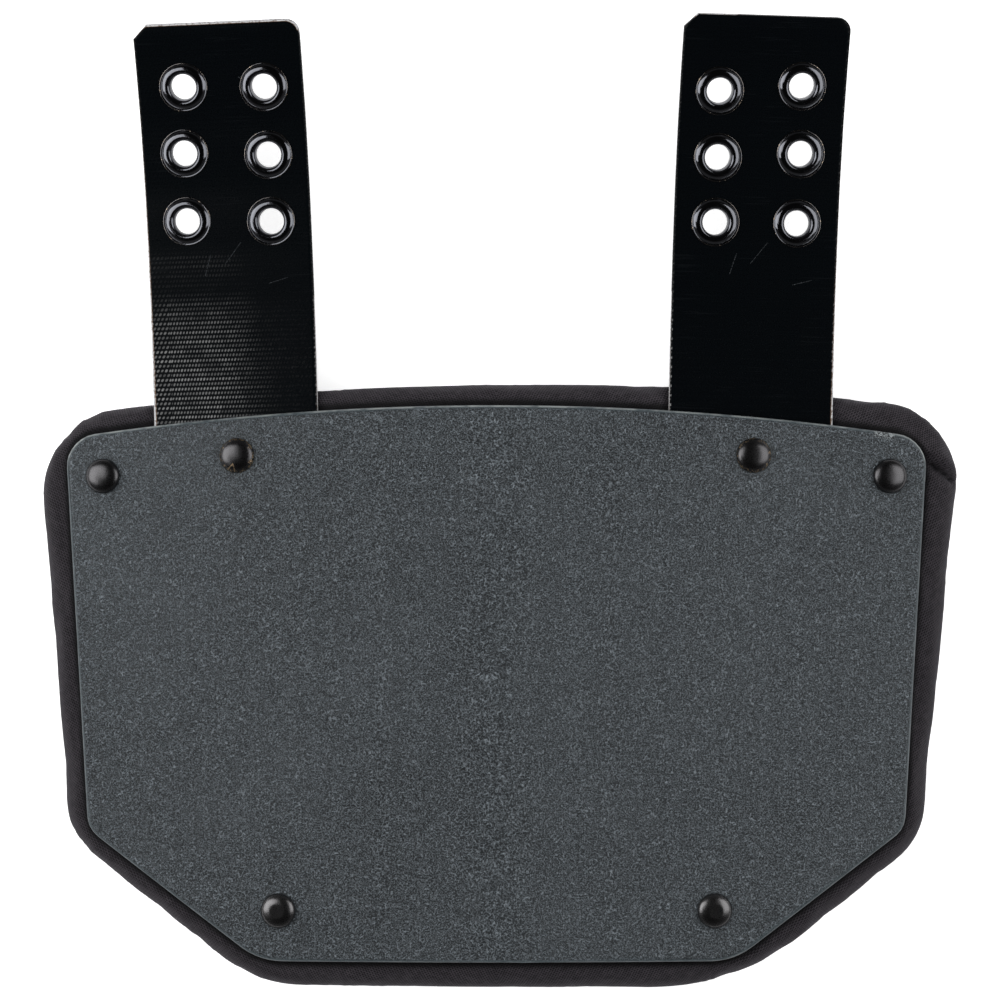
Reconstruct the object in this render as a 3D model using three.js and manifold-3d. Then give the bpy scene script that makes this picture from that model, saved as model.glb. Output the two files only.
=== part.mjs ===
// Football back plate: a curved plastic plate on a foam pad, hung from two eyeleted webbing straps.
// Millimetres. X runs across the back, Y up along the straps and Z out of the plate's face.
// The part lies on the back of its pad. Its origin is on the floor, under the middle of its box.

import * as THREE from 'three';
import { mergeVertices } from 'three/addons/utils/BufferGeometryUtils.js';
import Module from 'manifold-3d';

const wasm = await Module();
wasm.setup();

// Gaps between pieces that touch on the real thing
const SEAT_GAP = 0.3;
const PAD_SEAT_GAP = 0.5;
const HOLE_CLEARANCE = 0.4;

// Plate: a sheet bent round an axis along Y, with a bowed top edge
const PLATE_WIDTH = 271;
const PLATE_HEIGHT = 173;
const PLATE_THICKNESS = 3;
const PLATE_BEND_RADIUS = 800;
const PLATE_CROWN = 10;
const PLATE_CORNER_RADIUS = 8.7;
const PLATE_EDGE_ROUND = 1.1;

// Pad: foam in a woven cover, a border wider than the plate all round
const PAD_THICKNESS = 12;
const PAD_BORDER = 8;
const PAD_CORNER_RADIUS = 24.5;
const PAD_CROWN = 9.2;
const PAD_EDGE_ROLL = 9;

// Straps: nominal 2 in webbing, a little wider with its coating
const STRAP_WIDTH = 51.8;
const STRAP_THICKNESS = 2.5;
const STRAP_SPACING = 161;
const STRAP_RIVET_DROP = 12;
const STRAP_TAIL = 14;
const STRAP_BEND_START = 15;
const STRAP_TIP_SLOPE = 21;
const STRAP_TIP_MARGIN = 18.9;
const STRAP_TIP_CORNER = 4.2;
const STRAP_CHANNEL_CLEARANCE = 1;

// Eyelets: two columns in each strap
const EYELET_HOLE_DIAMETER = 7.9;
const EYELET_FLANGE_DIAMETER = 15.1;
const EYELET_WALL = 0.55;
const EYELET_CROWN_HEIGHT = 1.3;
const EYELET_FIRST_ROW = 73.3;
const EYELET_ROW_PITCH = 20.9;
const EYELET_COLUMN_PITCH = 25.6;
const EYELET_SHIFT = 1.1;

// Rivets: a domed head in front, a washer sunk in the back of the pad
const RIVET_HEAD_DIAMETER = 10.5;
const RIVET_HEAD_HEIGHT = 2.6;
const RIVET_SHANK_DIAMETER = 4.4;
const RIVET_WASHER_DIAMETER = 12;
const RIVET_WASHER_THICKNESS = 1.2;
const RIVET_WASHER_SUNK = 1;
const SIDE_RIVET_INSET = 12.4;
const SIDE_RIVET_DROP = 13.6;
const LOW_RIVET_SPACING = 135.6;
const LOW_RIVET_RISE = 15.9;

// Fineness of the meshes
const OUTLINE_STATIONS = 44;
const OUTLINE_SAMPLES = 720;
const ROUND_SIDES = 16;

// Corners of the outline, anticlockwise from the upper left. x is a share of half the plate's width, y of
// its height from the bottom edge. round multiplies the plate's corner radius. The pad's corner lies
// padOut and padUp borders further out, and padRound multiplies the pad's corner radius.
const OUTLINE_CORNERS = [
  { x: -1, y: 0.942, round: 1, padOut: -1.42, padUp: 0.8, padRound: 1 },
  { x: -0.946, y: 0.234, round: 1, padOut: -1.1, padUp: -0.31, padRound: 0.9 },
  { x: -0.546, y: 0, round: 2.5, padOut: -0.25, padUp: -1.08, padRound: 1.8 },
  { x: 0.546, y: 0, round: 2.5, padOut: 0.2, padUp: -1.19, padRound: 3.2 },
  { x: 0.946, y: 0.234, round: 1, padOut: 1, padUp: -0.48, padRound: 0.9 },
  { x: 1, y: 0.942, round: 1, padOut: 1.8, padUp: 1.12, padRound: 1 },
];

// Edge of the plate from front to back: inset as a share of its edge round, depth as a share of thickness
const PLATE_EDGE = [
  { inset: 1, depth: 0 },
  { inset: 0.3, depth: 0.08 },
  { inset: 0, depth: 0.3 },
  { inset: 0, depth: 0.8 },
  { inset: 0.5, depth: 1 },
];

// Rolled edge of the pad from front to back, as shares of its edge roll and thickness
const PAD_EDGE = [
  { inset: 1, depth: 0 },
  { inset: 0.45, depth: 0.05 },
  { inset: 0.12, depth: 0.22 },
  { inset: 0, depth: 0.5 },
  { inset: 0.12, depth: 0.78 },
  { inset: 0.45, depth: 0.95 },
  { inset: 1, depth: 1 },
];

// Slopes of the strap's flat stretches as shares of its tip slope: before the eyelets, at each row of
// eyelets and past the last row
const LEAD_SLOPES = [0.06, 0.14, 0.24];
const ROW_SLOPES = [0.34, 0.54, 0.76];
const TIP_SLOPES = [0.9, 1];

// The two straps, seen from the front. shift is the rivet's distance from an even spacing and lean the
// strap's turn at the rivet in degrees. The strap's middle lies off the rivet by a share of its width.
// firstRow and tipMargin multiply the lengths of the same name.
const STRAPS = [
  { name: 'left', side: -1, shift: -0.2, lean: 1.5, middle: -0.018, firstRow: 1, tipMargin: 1 },
  { name: 'right', side: 1, shift: -0.5, lean: -1, middle: -0.004, firstRow: 0.992, tipMargin: 1.195 },
];

// Eyelets are set by hand: each lies off its row and column by these shares of the largest shift
const EYELETS = [
  { strap: 'left', row: 0, column: -1, across: -1, along: 0.4 },
  { strap: 'left', row: 0, column: 1, across: -0.2, along: -0.4 },
  { strap: 'left', row: 1, column: -1, across: -0.65, along: 0.6 },
  { strap: 'left', row: 1, column: 1, across: 0, along: -0.6 },
  { strap: 'left', row: 2, column: -1, across: 0.4, along: 0.4 },
  { strap: 'left', row: 2, column: 1, across: 0, along: -0.4 },
  { strap: 'right', row: 0, column: -1, across: -0.4, along: -0.1 },
  { strap: 'right', row: 0, column: 1, across: -0.3, along: 0.1 },
  { strap: 'right', row: 1, column: -1, across: -0.5, along: -0.8 },
  { strap: 'right', row: 1, column: 1, across: -0.2, along: 0.8 },
  { strap: 'right', row: 2, column: -1, across: -1, along: -1 },
  { strap: 'right', row: 2, column: 1, across: -1, along: 1 },
];

// Half section of an eyelet's flanges, from the front rim through the hole to the back rim. face is the
// side of the strap, r runs from the hole's wall (0) to the rim (1), z from the seat (0) to the crown (1).
const EYELET_PROFILE = [
  { face: 1, r: 1, z: 0 },
  { face: 1, r: 0.97, z: 0.3 },
  { face: 1, r: 0.7, z: 0.3 },
  { face: 1, r: 0.42, z: 1 },
  { face: 1, r: 0.14, z: 1 },
  { face: 1, r: 0, z: 0.5 },
  { face: -1, r: 0, z: 0.45 },
  { face: -1, r: 0.2, z: 1 },
  { face: -1, r: 0.55, z: 1 },
  { face: -1, r: 0.97, z: 0 },
];

// Domes of the rivet heads from rim to axis, as shares of head radius and height
const RIVET_CROWNS = {
  domed: [
    { r: 1, z: 0.12 },
    { r: 0.96, z: 0.38 },
    { r: 0.76, z: 0.74 },
    { r: 0.42, z: 0.95 },
    { r: 0, z: 1 },
  ],
  flat: [
    { r: 1, z: 0.12 },
    { r: 0.96, z: 0.38 },
    { r: 0.74, z: 0.74 },
    { r: 0.32, z: 0.94 },
    { r: 0, z: 0.94 },
  ],
};

const FINISHES = {
  plate: { color: 0x454a50, roughness: 0.62, metalness: 0 },
  cover: { color: 0x2c2a2d, roughness: 0.9, metalness: 0 },
  webbing: { color: 0x08080a, roughness: 0.35, metalness: 0 },
  enamel: { color: 0x060607, roughness: 0.18, metalness: 0 },
  rivet: { color: 0x0c0c0d, roughness: 0.32, metalness: 0 },
};

// A closed geometry as a solid that can be joined and cut
function toSolid(geometry) {
  const bare = geometry.clone();
  bare.deleteAttribute('normal');
  bare.deleteAttribute('uv');
  const merged = mergeVertices(bare, 1e-5);
  return new wasm.Manifold(new wasm.Mesh({
    numProp: 3,
    vertProperties: new Float32Array(merged.attributes.position.array),
    triVerts: new Uint32Array(merged.index.array),
  }));
}

// A solid as a geometry for a mesh
function toGeometry(solid) {
  const mesh = solid.getMesh();
  const geometry = new THREE.BufferGeometry();
  geometry.setAttribute('position', new THREE.BufferAttribute(mesh.vertProperties, 3));
  geometry.setIndex(new THREE.BufferAttribute(mesh.triVerts, 1));
  geometry.computeVertexNormals();
  return geometry;
}

// A solid less each of its cutters
function cutAway(solid, cutters) {
  return cutters.reduce((rest, cutter) => rest.subtract(cutter), solid);
}

// Height of the plate's front face at a distance x from the middle
function faceHeight(x) {
  return Math.sqrt(PLATE_BEND_RADIUS ** 2 - x ** 2) - PLATE_BEND_RADIUS;
}

// A point at a height above the bent face, reckoned square to it
function bent(x, y, height) {
  const lean = x / PLATE_BEND_RADIUS;
  return [x + height * lean, y, faceHeight(x) + height * Math.sqrt(1 - lean ** 2)];
}

// Frame that stands square on the plate's front face
function faceFrame(x, y) {
  const frame = new THREE.Matrix4().makeRotationY(Math.asin(x / PLATE_BEND_RADIUS));
  return frame.setPosition(x, y, faceHeight(x));
}

// Path through the corners with each one rounded, within a share of its shorter side
function roundedPath(corners) {
  const path = new THREE.Path();
  corners.forEach((corner, i) => {
    const before = corners[(i + corners.length - 1) % corners.length].at;
    const after = corners[(i + 1) % corners.length].at;
    const toBefore = before.clone().sub(corner.at);
    const toAfter = after.clone().sub(corner.at);
    const reach = 0.48 * Math.min(toBefore.length(), toAfter.length());
    toBefore.normalize();
    toAfter.normalize();
    const halfAngle = Math.acos(toBefore.dot(toAfter)) / 2;
    const tangent = Math.min(corner.radius / Math.tan(halfAngle), reach);
    const radius = tangent * Math.tan(halfAngle);
    const inward = toBefore.clone().add(toAfter).normalize();
    const centre = corner.at.clone().addScaledVector(inward, radius / Math.sin(halfAngle));
    const start = corner.at.clone().addScaledVector(toBefore, tangent).sub(centre);
    const end = corner.at.clone().addScaledVector(toAfter, tangent).sub(centre);
    path.absarc(centre.x, centre.y, radius, start.angle(), end.angle(), false);
  });
  path.closePath();
  return path;
}

// Samples of an outline whose top edge is bowed up by crown, split into its lower and upper chains
function outlineChains(corners, crown) {
  const sideBottom = corners[1].at.y;
  const sideTop = Math.max(corners[0].at.y, corners.at(-1).at.y);
  const points = roundedPath(corners).getSpacedPoints(OUTLINE_SAMPLES).slice(0, -1);
  const left = Math.min(...points.map((point) => point.x));
  const right = Math.max(...points.map((point) => point.x));
  for (const point of points) {
    const across = (2 * point.x - left - right) / (right - left);
    const rise = THREE.MathUtils.clamp((point.y - sideBottom) / (sideTop - sideBottom), 0, 1);
    point.y += crown * (1 - across ** 2) * rise;
  }
  const first = points.findIndex((point) => point.x === left);
  const turned = [...points.slice(first), ...points.slice(0, first + 1)];
  const last = turned.findIndex((point) => point.x === right);
  return { left, right, lower: turned.slice(0, last + 1), upper: turned.slice(last).reverse() };
}

// Height of a chain of points at x
function chainHeight(chain, x) {
  const next = Math.max(1, chain.findIndex((point) => point.x >= x));
  const a = chain[next - 1];
  const b = chain[next];
  const share = b.x > a.x ? (x - a.x) / (b.x - a.x) : 0;
  return THREE.MathUtils.lerp(a.y, b.y, THREE.MathUtils.clamp(share, 0, 1));
}

// Ring of points round an outline, anticlockwise, whose upper and lower points stand one above another
function outlineRing(chains) {
  const middle = (chains.left + chains.right) / 2;
  const reach = (chains.right - chains.left) / 2;
  const ring = [];
  for (let i = 0; i <= OUTLINE_STATIONS; i++) {
    const x = middle - reach * Math.cos(Math.PI * i / OUTLINE_STATIONS);
    ring.push(new THREE.Vector2(x, chainHeight(chains.lower, x)));
  }
  for (let i = OUTLINE_STATIONS - 1; i > 0; i--) {
    const x = middle - reach * Math.cos(Math.PI * i / OUTLINE_STATIONS);
    ring.push(new THREE.Vector2(x, chainHeight(chains.upper, x)));
  }
  return ring;
}

// A ring moved inwards, square to its own edge
function insetRing(ring, inset) {
  return ring.map((point, i) => {
    const before = ring[(i + ring.length - 1) % ring.length];
    const after = ring[(i + 1) % ring.length];
    const along = after.clone().sub(before).normalize();
    return new THREE.Vector2(point.x - along.y * inset, point.y + along.x * inset);
  });
}

// A bent slab: one ring for each row of its edge, closed in front and behind by planks along Y
function bentSlab(ring, edge, edgeInset, front, thickness) {
  const count = ring.length;
  const half = count / 2;
  const positions = [];
  for (const row of edge) {
    for (const point of insetRing(ring, row.inset * edgeInset)) {
      positions.push(...bent(point.x, point.y, front - row.depth * thickness));
    }
  }
  const index = [];
  for (let row = 0; row < edge.length - 1; row++) {
    for (let i = 0; i < count; i++) {
      const a = row * count + i;
      const b = row * count + (i + 1) % count;
      index.push(a + count, b + count, b, a + count, b, a);
    }
  }
  const back = (edge.length - 1) * count;
  for (let i = 0; i < half; i++) {
    const below = [i, i + 1];
    const above = [(count - i) % count, count - i - 1];
    if (i < half - 1) {
      index.push(below[0], below[1], above[1]);
      index.push(back + below[0], back + above[1], back + below[1]);
    }
    if (i > 0) {
      index.push(below[0], above[1], above[0]);
      index.push(back + below[0], back + above[0], back + above[1]);
    }
  }
  const geometry = new THREE.BufferGeometry();
  geometry.setAttribute('position', new THREE.Float32BufferAttribute(positions, 3));
  geometry.setIndex(index);
  return toSolid(geometry);
}

// A turned shape round Z from its half section, which ends on the axis or closes on itself
function turned(profile) {
  const points = profile.map(([r, z]) => new THREE.Vector2(r, z));
  return new THREE.LatheGeometry(points, ROUND_SIDES).rotateX(Math.PI / 2);
}

// A round cutter along Z between two heights
function drill(diameter, low, high) {
  const geometry = new THREE.CylinderGeometry(diameter / 2, diameter / 2, high - low, ROUND_SIDES);
  geometry.rotateX(Math.PI / 2).translate(0, 0, (low + high) / 2);
  return geometry;
}

// Outline of the plate and of the pad
const halfWidth = PLATE_WIDTH / 2;
const plateCorners = OUTLINE_CORNERS.map((row) => ({
  at: new THREE.Vector2(row.x * halfWidth, row.y * PLATE_HEIGHT),
  radius: row.round * PLATE_CORNER_RADIUS,
}));
const padCorners = OUTLINE_CORNERS.map((row, i) => ({
  at: new THREE.Vector2(row.padOut, row.padUp).multiplyScalar(PAD_BORDER).add(plateCorners[i].at),
  radius: row.padRound * PAD_CORNER_RADIUS,
}));
const plateChains = outlineChains(plateCorners, PLATE_CROWN);
const padChains = outlineChains(padCorners, PAD_CROWN);

// Heights below the plate's front face. A flat strap under the bent plate is seated at its two edges.
const strapSagitta = (STRAP_WIDTH / 2) ** 2 / (2 * PLATE_BEND_RADIUS);
const strapMiddle = -(PLATE_THICKNESS + SEAT_GAP + strapSagitta + STRAP_THICKNESS / 2);
const strapBack = strapMiddle - STRAP_THICKNESS / 2;
const padFront = -(PLATE_THICKNESS + PAD_SEAT_GAP);
const padBack = padFront - PAD_THICKNESS;
const washerBack = padBack + RIVET_WASHER_SUNK;
const washerFront = washerBack + RIVET_WASHER_THICKNESS;

// Frame of each strap, with its origin on the plate's face at the strap's rivet
function strapFrame(strap) {
  const x = strap.side * STRAP_SPACING / 2 + strap.shift;
  const y = chainHeight(plateChains.upper, x) - STRAP_RIVET_DROP;
  const lean = new THREE.Matrix4().makeRotationZ(THREE.MathUtils.degToRad(strap.lean));
  return faceFrame(x, y).multiply(lean);
}

// Flat stretches of a strap from its tail to its tip
function strapStretches(strap) {
  const zone = EYELET_FLANGE_DIAMETER + 2 * EYELET_SHIFT + SEAT_GAP;
  const lead = strap.firstRow * EYELET_FIRST_ROW - zone / 2 - STRAP_BEND_START;
  const tip = strap.tipMargin * STRAP_TIP_MARGIN - zone / 2;
  const stretches = [{ length: STRAP_TAIL + STRAP_BEND_START, share: 0 }];
  for (const share of LEAD_SLOPES) {
    stretches.push({ length: lead / LEAD_SLOPES.length, share });
  }
  ROW_SLOPES.forEach((share, row) => {
    stretches.push({ length: zone, share, row });
    if (row < ROW_SLOPES.length - 1) {
      stretches.push({ length: EYELET_ROW_PITCH - zone, share: (share + ROW_SLOPES[row + 1]) / 2 });
    }
  });
  for (const share of TIP_SLOPES) {
    stretches.push({ length: tip / TIP_SLOPES.length, share });
  }
  return stretches;
}

// The strap's middle line in its own frame: knots, and the middle and slope of each row of eyelets
function strapLine(strap) {
  const knots = [new THREE.Vector2(-STRAP_TAIL, strapMiddle)];
  const slopes = [];
  const rows = [];
  for (const stretch of strapStretches(strap)) {
    const slope = THREE.MathUtils.degToRad(stretch.share * STRAP_TIP_SLOPE);
    const start = knots.at(-1);
    const end = start.clone().add(new THREE.Vector2(Math.cos(slope), Math.sin(slope))
      .multiplyScalar(stretch.length));
    if (stretch.row !== undefined) {
      rows.push({ at: start.clone().lerp(end, 0.5), slope });
    }
    knots.push(end);
    slopes.push(slope);
  }
  return { knots, slopes, rows };
}

// Side view of the strap, mitred where it bends
function strapSection(line) {
  const faces = [1, -1].map((face) => line.knots.map((knot, i) => {
    const before = line.slopes[Math.max(0, i - 1)];
    const after = line.slopes[Math.min(line.slopes.length - 1, i)];
    const slope = (before + after) / 2;
    const out = face * STRAP_THICKNESS / 2 / Math.cos((after - before) / 2);
    return new THREE.Vector2(knot.x - Math.sin(slope) * out, knot.y + Math.cos(slope) * out);
  }));
  return new THREE.Shape([...faces[1], ...faces[0].reverse()]);
}

// Cutters for the tip's corners, seen from the front: cut off on the left and rounded on the right
function tipCutters(end) {
  const edge = STRAP_WIDTH / 2;
  const corner = STRAP_TIP_CORNER;
  const past = STRAP_THICKNESS;
  const bevel = new THREE.Shape([
    new THREE.Vector2(-edge - past, end - corner - past),
    new THREE.Vector2(-edge + corner + past, end + past),
    new THREE.Vector2(-edge - past, end + past),
  ]);
  const round = new THREE.Shape();
  round.moveTo(edge, end - corner);
  round.lineTo(edge + past, end - corner);
  round.lineTo(edge + past, end + past);
  round.lineTo(edge - corner, end + past);
  round.lineTo(edge - corner, end);
  round.absarc(edge - corner, end - corner, corner, Math.PI / 2, 0, true);
  return [bevel, round].map((shape) => {
    const geometry = new THREE.ExtrudeGeometry(shape, { depth: 2 * STRAP_SPACING, bevelEnabled: false });
    return geometry.translate(0, 0, -STRAP_SPACING);
  });
}

// Frame of an eyelet in its strap's frame, at the middle of the strap's thickness
function eyeletFrame(eyelet, line) {
  const row = line.rows[eyelet.row];
  const across = eyelet.column * EYELET_COLUMN_PITCH / 2 + eyelet.across * EYELET_SHIFT;
  const along = eyelet.along * EYELET_SHIFT;
  const frame = new THREE.Matrix4().makeRotationX(row.slope);
  return frame.setPosition(
    across,
    row.at.x + along * Math.cos(row.slope),
    row.at.y + along * Math.sin(row.slope),
  );
}

const barrelRadius = EYELET_HOLE_DIAMETER / 2 + EYELET_WALL;

function eyeletGeometry() {
  const hole = EYELET_HOLE_DIAMETER / 2;
  const rim = EYELET_FLANGE_DIAMETER / 2;
  const seat = STRAP_THICKNESS / 2 + SEAT_GAP;
  const flanges = EYELET_PROFILE.map(({ face, r, z }) => [
    THREE.MathUtils.lerp(hole, rim, r),
    face * (seat + z * EYELET_CROWN_HEIGHT),
  ]);
  return turned([[barrelRadius, seat], ...flanges, [barrelRadius, -seat], [barrelRadius, seat]]);
}

function strapGeometry(strap, line) {
  const band = new THREE.ExtrudeGeometry(strapSection(line), { depth: STRAP_WIDTH, bevelEnabled: false });
  const sideView = new THREE.Matrix4().makeBasis(
    new THREE.Vector3(0, 1, 0),
    new THREE.Vector3(0, 0, 1),
    new THREE.Vector3(1, 0, 0),
  );
  const middle = strap.middle * STRAP_WIDTH;
  band.applyMatrix4(sideView).translate(middle - STRAP_WIDTH / 2, 0, 0);
  const corners = tipCutters(line.knots.at(-1).x).map((cutter) => toSolid(cutter.translate(middle, 0, 0)));
  const eyeletHole = drill(2 * barrelRadius + HOLE_CLEARANCE, -STRAP_THICKNESS, STRAP_THICKNESS);
  const holes = EYELETS.filter((eyelet) => eyelet.strap === strap.name)
    .map((eyelet) => toSolid(eyeletHole.clone().applyMatrix4(eyeletFrame(eyelet, line))));
  const rivetHole = toSolid(drill(
    RIVET_SHANK_DIAMETER + 2 * HOLE_CLEARANCE,
    strapMiddle - STRAP_THICKNESS,
    strapMiddle + STRAP_THICKNESS,
  ));
  return toGeometry(cutAway(toSolid(band), [...corners, ...holes, rivetHole]));
}

// Rivet in the frame of the plate's face: washer, shank and head
function rivetGeometry(crown) {
  const head = RIVET_HEAD_DIAMETER / 2;
  const shank = RIVET_SHANK_DIAMETER / 2;
  const washer = RIVET_WASHER_DIAMETER / 2;
  return turned([
    [0, washerBack],
    [washer, washerBack],
    [washer, washerFront],
    [shank, washerFront],
    [shank, SEAT_GAP],
    [head, SEAT_GAP],
    ...RIVET_CROWNS[crown].map(({ r, z }) => [r * head, SEAT_GAP + z * RIVET_HEAD_HEIGHT]),
  ]);
}

// Places of the rivets on the plate's face
function rivetPlaces() {
  const sideX = halfWidth - SIDE_RIVET_INSET;
  const sides = [-1, 1].map((side) => ({
    name: side < 0 ? 'rivet_side_left' : 'rivet_side_right',
    crown: 'domed',
    frame: faceFrame(side * sideX, chainHeight(plateChains.upper, side * sideX) - SIDE_RIVET_DROP),
  }));
  const lows = [-1, 1].map((side) => ({
    name: side < 0 ? 'rivet_low_left' : 'rivet_low_right',
    crown: 'flat',
    frame: faceFrame(side * LOW_RIVET_SPACING / 2, LOW_RIVET_RISE),
  }));
  const straps = STRAPS.map((strap) => ({
    name: `rivet_strap_${strap.name}`,
    crown: 'domed',
    frame: strapFrame(strap),
  }));
  return [...straps, ...sides, ...lows];
}

const rivets = rivetPlaces();

// Cutters placed at every rivet
function rivetCutters(diameter, low, high) {
  return rivets.map((rivet) => toSolid(drill(diameter, low, high).applyMatrix4(rivet.frame)));
}

function plateGeometry() {
  const sheet = bentSlab(outlineRing(plateChains), PLATE_EDGE, PLATE_EDGE_ROUND, 0, PLATE_THICKNESS);
  const shanks = rivetCutters(
    RIVET_SHANK_DIAMETER + 2 * HOLE_CLEARANCE,
    -2 * PLATE_THICKNESS,
    PLATE_THICKNESS,
  );
  return toGeometry(cutAway(sheet, shanks));
}

// The pad is pressed in under each strap, pierced by the shanks and dimpled over the washers
function padGeometry() {
  const foam = bentSlab(outlineRing(padChains), PAD_EDGE, PAD_EDGE_ROLL, padFront, PAD_THICKNESS);
  const channelDepth = -strapBack + SEAT_GAP;
  const channelLength = STRAP_TAIL + STRAP_CHANNEL_CLEARANCE + PLATE_HEIGHT;
  const channels = STRAPS.map((strap) => {
    const box = new THREE.BoxGeometry(
      STRAP_WIDTH + 2 * STRAP_CHANNEL_CLEARANCE,
      channelLength,
      channelDepth,
    );
    box.translate(
      strap.middle * STRAP_WIDTH,
      channelLength / 2 - STRAP_TAIL - STRAP_CHANNEL_CLEARANCE,
      -channelDepth / 2,
    );
    return toSolid(box.applyMatrix4(strapFrame(strap)));
  });
  const shanks = rivetCutters(
    RIVET_SHANK_DIAMETER + 2 * HOLE_CLEARANCE,
    padBack - PAD_THICKNESS,
    PAD_THICKNESS,
  );
  const dimples = rivetCutters(
    RIVET_WASHER_DIAMETER + 2 * HOLE_CLEARANCE,
    padBack - PAD_THICKNESS,
    washerFront + SEAT_GAP,
  );
  return toGeometry(cutAway(foam, [...channels, ...shanks, ...dimples]));
}

function named(name, geometry, finish, frame = new THREE.Matrix4()) {
  const mesh = new THREE.Mesh(geometry, new THREE.MeshStandardMaterial(FINISHES[finish]));
  mesh.name = name;
  frame.decompose(mesh.position, mesh.quaternion, mesh.scale);
  return mesh;
}

const group = new THREE.Group();
group.add(named('back_plate', plateGeometry(), 'plate'));
group.add(named('back_pad', padGeometry(), 'cover'));

for (const strap of STRAPS) {
  const line = strapLine(strap);
  const assembly = new THREE.Group();
  strapFrame(strap).decompose(assembly.position, assembly.quaternion, assembly.scale);
  assembly.add(named(`strap_${strap.name}`, strapGeometry(strap, line), 'webbing'));
  for (const eyelet of EYELETS.filter((row) => row.strap === strap.name)) {
    const place = eyelet.column === strap.side ? 'outer' : 'inner';
    const name = `eyelet_${strap.name}_${eyelet.row + 1}_${place}`;
    assembly.add(named(name, eyeletGeometry(), 'enamel', eyeletFrame(eyelet, line)));
  }
  group.add(assembly);
}

for (const rivet of rivets) {
  group.add(named(rivet.name, rivetGeometry(rivet.crown), 'rivet', rivet.frame));
}

// Stand the part on the floor, over the origin
const box = new THREE.Box3().setFromObject(group, true);
const centre = box.getCenter(new THREE.Vector3());
group.position.set(-centre.x, -centre.y, -box.min.z);

export default group;
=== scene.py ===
"""Football back plate, dressed for the camera.

A curved plastic plate on a foam pad, hung from two eyeleted webbing straps. Lengths are metres in the
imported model's frame: X across the back, Y up along the straps and Z out of the plate's face. The flat
drawing of a piece has its heights above the plate's front face as Z, and is wrapped round the plate's bend
at the end. Places and widths in finishes are millimetres.
"""

import logging
import math
from collections.abc import Callable, Iterator, Mapping, Sequence
from contextlib import contextmanager
from dataclasses import dataclass, field
from enum import Enum

import bpy
import numpy as np
from mathutils import Matrix, Vector


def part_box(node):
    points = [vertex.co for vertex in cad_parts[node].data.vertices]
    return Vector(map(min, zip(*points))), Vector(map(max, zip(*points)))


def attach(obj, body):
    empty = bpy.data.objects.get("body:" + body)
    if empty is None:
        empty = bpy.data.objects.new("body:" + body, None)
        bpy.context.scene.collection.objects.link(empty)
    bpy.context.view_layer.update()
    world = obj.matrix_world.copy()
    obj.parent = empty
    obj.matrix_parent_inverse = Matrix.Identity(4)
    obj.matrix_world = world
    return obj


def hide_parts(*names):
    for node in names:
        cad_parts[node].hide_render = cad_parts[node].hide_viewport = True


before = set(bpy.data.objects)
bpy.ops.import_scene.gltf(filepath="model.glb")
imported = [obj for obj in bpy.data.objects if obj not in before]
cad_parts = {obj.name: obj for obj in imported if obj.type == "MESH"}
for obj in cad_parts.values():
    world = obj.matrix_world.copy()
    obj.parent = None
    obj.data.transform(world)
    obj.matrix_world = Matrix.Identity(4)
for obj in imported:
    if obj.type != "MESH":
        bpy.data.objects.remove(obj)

MM = 0.001
BODY = "root"
WELD = 0.01 * MM
CORNER_STEPS = 25
EDGE = "edge_share"
THREADS = "thread_place"
SEAM = "seam_place"
SHADE = "nip_shade"

Piece = bpy.types.Object
Material = bpy.types.Material
Socket = bpy.types.NodeSocket
Colour = tuple[float, float, float, float]
Edges = set[tuple[int, int]]

log = logging.getLogger("back_plate")


class Side(Enum):
    """Side of the plate, seen from the front."""

    LEFT = -1
    RIGHT = 1


class Crown(Enum):
    """Top of a rivet's head."""

    DOMED = "domed"
    DIMPLED = "dimpled"


class Slot(Enum):
    """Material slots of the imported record."""

    PLATE = "plate"
    COVER = "cover"
    WEBBING = "webbing"
    ENAMEL = "enamel"
    RIVET = "rivet"


class Pick(Enum):
    """Kind of mesh element that an edit works on."""

    VERTEX = (True, False, False)
    EDGE = (False, True, False)
    FACE = (False, False, True)


def paint(red: int, green: int, blue: int) -> Colour:
    """Linear colour of a screen colour.

    Args:
        red: Red from 0 to 255.
        green: Green from 0 to 255.
        blue: Blue from 0 to 255.

    Returns:
        The colour with full alpha.
    """
    shares = np.array((red, green, blue)) / 255
    linear = np.where(shares <= 0.04045, shares / 12.92, ((shares + 0.055) / 1.055) ** 2.4)
    return (*map(float, linear), 1.0)


def ramp(values: np.ndarray, low: float, high: float) -> np.ndarray:
    """Smooth step of values from 0 at low to 1 at high."""
    share = np.clip((values - low) / (high - low), 0, 1)
    return share * share * (3 - 2 * share)


def edge_distance(points: np.ndarray, loop: np.ndarray) -> tuple[np.ndarray, np.ndarray]:
    """Distance of points from a closed loop in the plane, positive inside it.

    Args:
        points: Points as rows of x and y.
        loop: Corners of the loop as rows of x and y, anticlockwise.

    Returns:
        The distances, and the number of the nearest stretch of the loop for each point.
    """
    start, end = loop, np.roll(loop, -1, axis=0)
    along = end - start
    distances, nearest = [], []
    for block in np.array_split(points[:, :2], max(1, len(points) // 8000)):
        away = block[:, None, :] - start[None]
        share = np.clip((away * along).sum(2) / (along ** 2).sum(1), 0, 1)
        gap = np.linalg.norm(away - share[..., None] * along, axis=2)
        above = block[:, None, 1] >= start[None, :, 1]
        crossing = above != (block[:, None, 1] >= end[None, :, 1])
        rise = np.where(along[:, 1] == 0, 1, along[:, 1])
        hit = start[None, :, 0] + away[..., 1] / rise * along[:, 0] > block[:, None, 0]
        inside = (crossing & hit).sum(1) % 2 == 1
        closest = gap.argmin(1)
        shortest = gap[np.arange(len(block)), closest]
        distances.append(np.where(inside, shortest, -shortest))
        nearest.append(closest)
    return np.concatenate(distances), np.concatenate(nearest)


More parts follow.
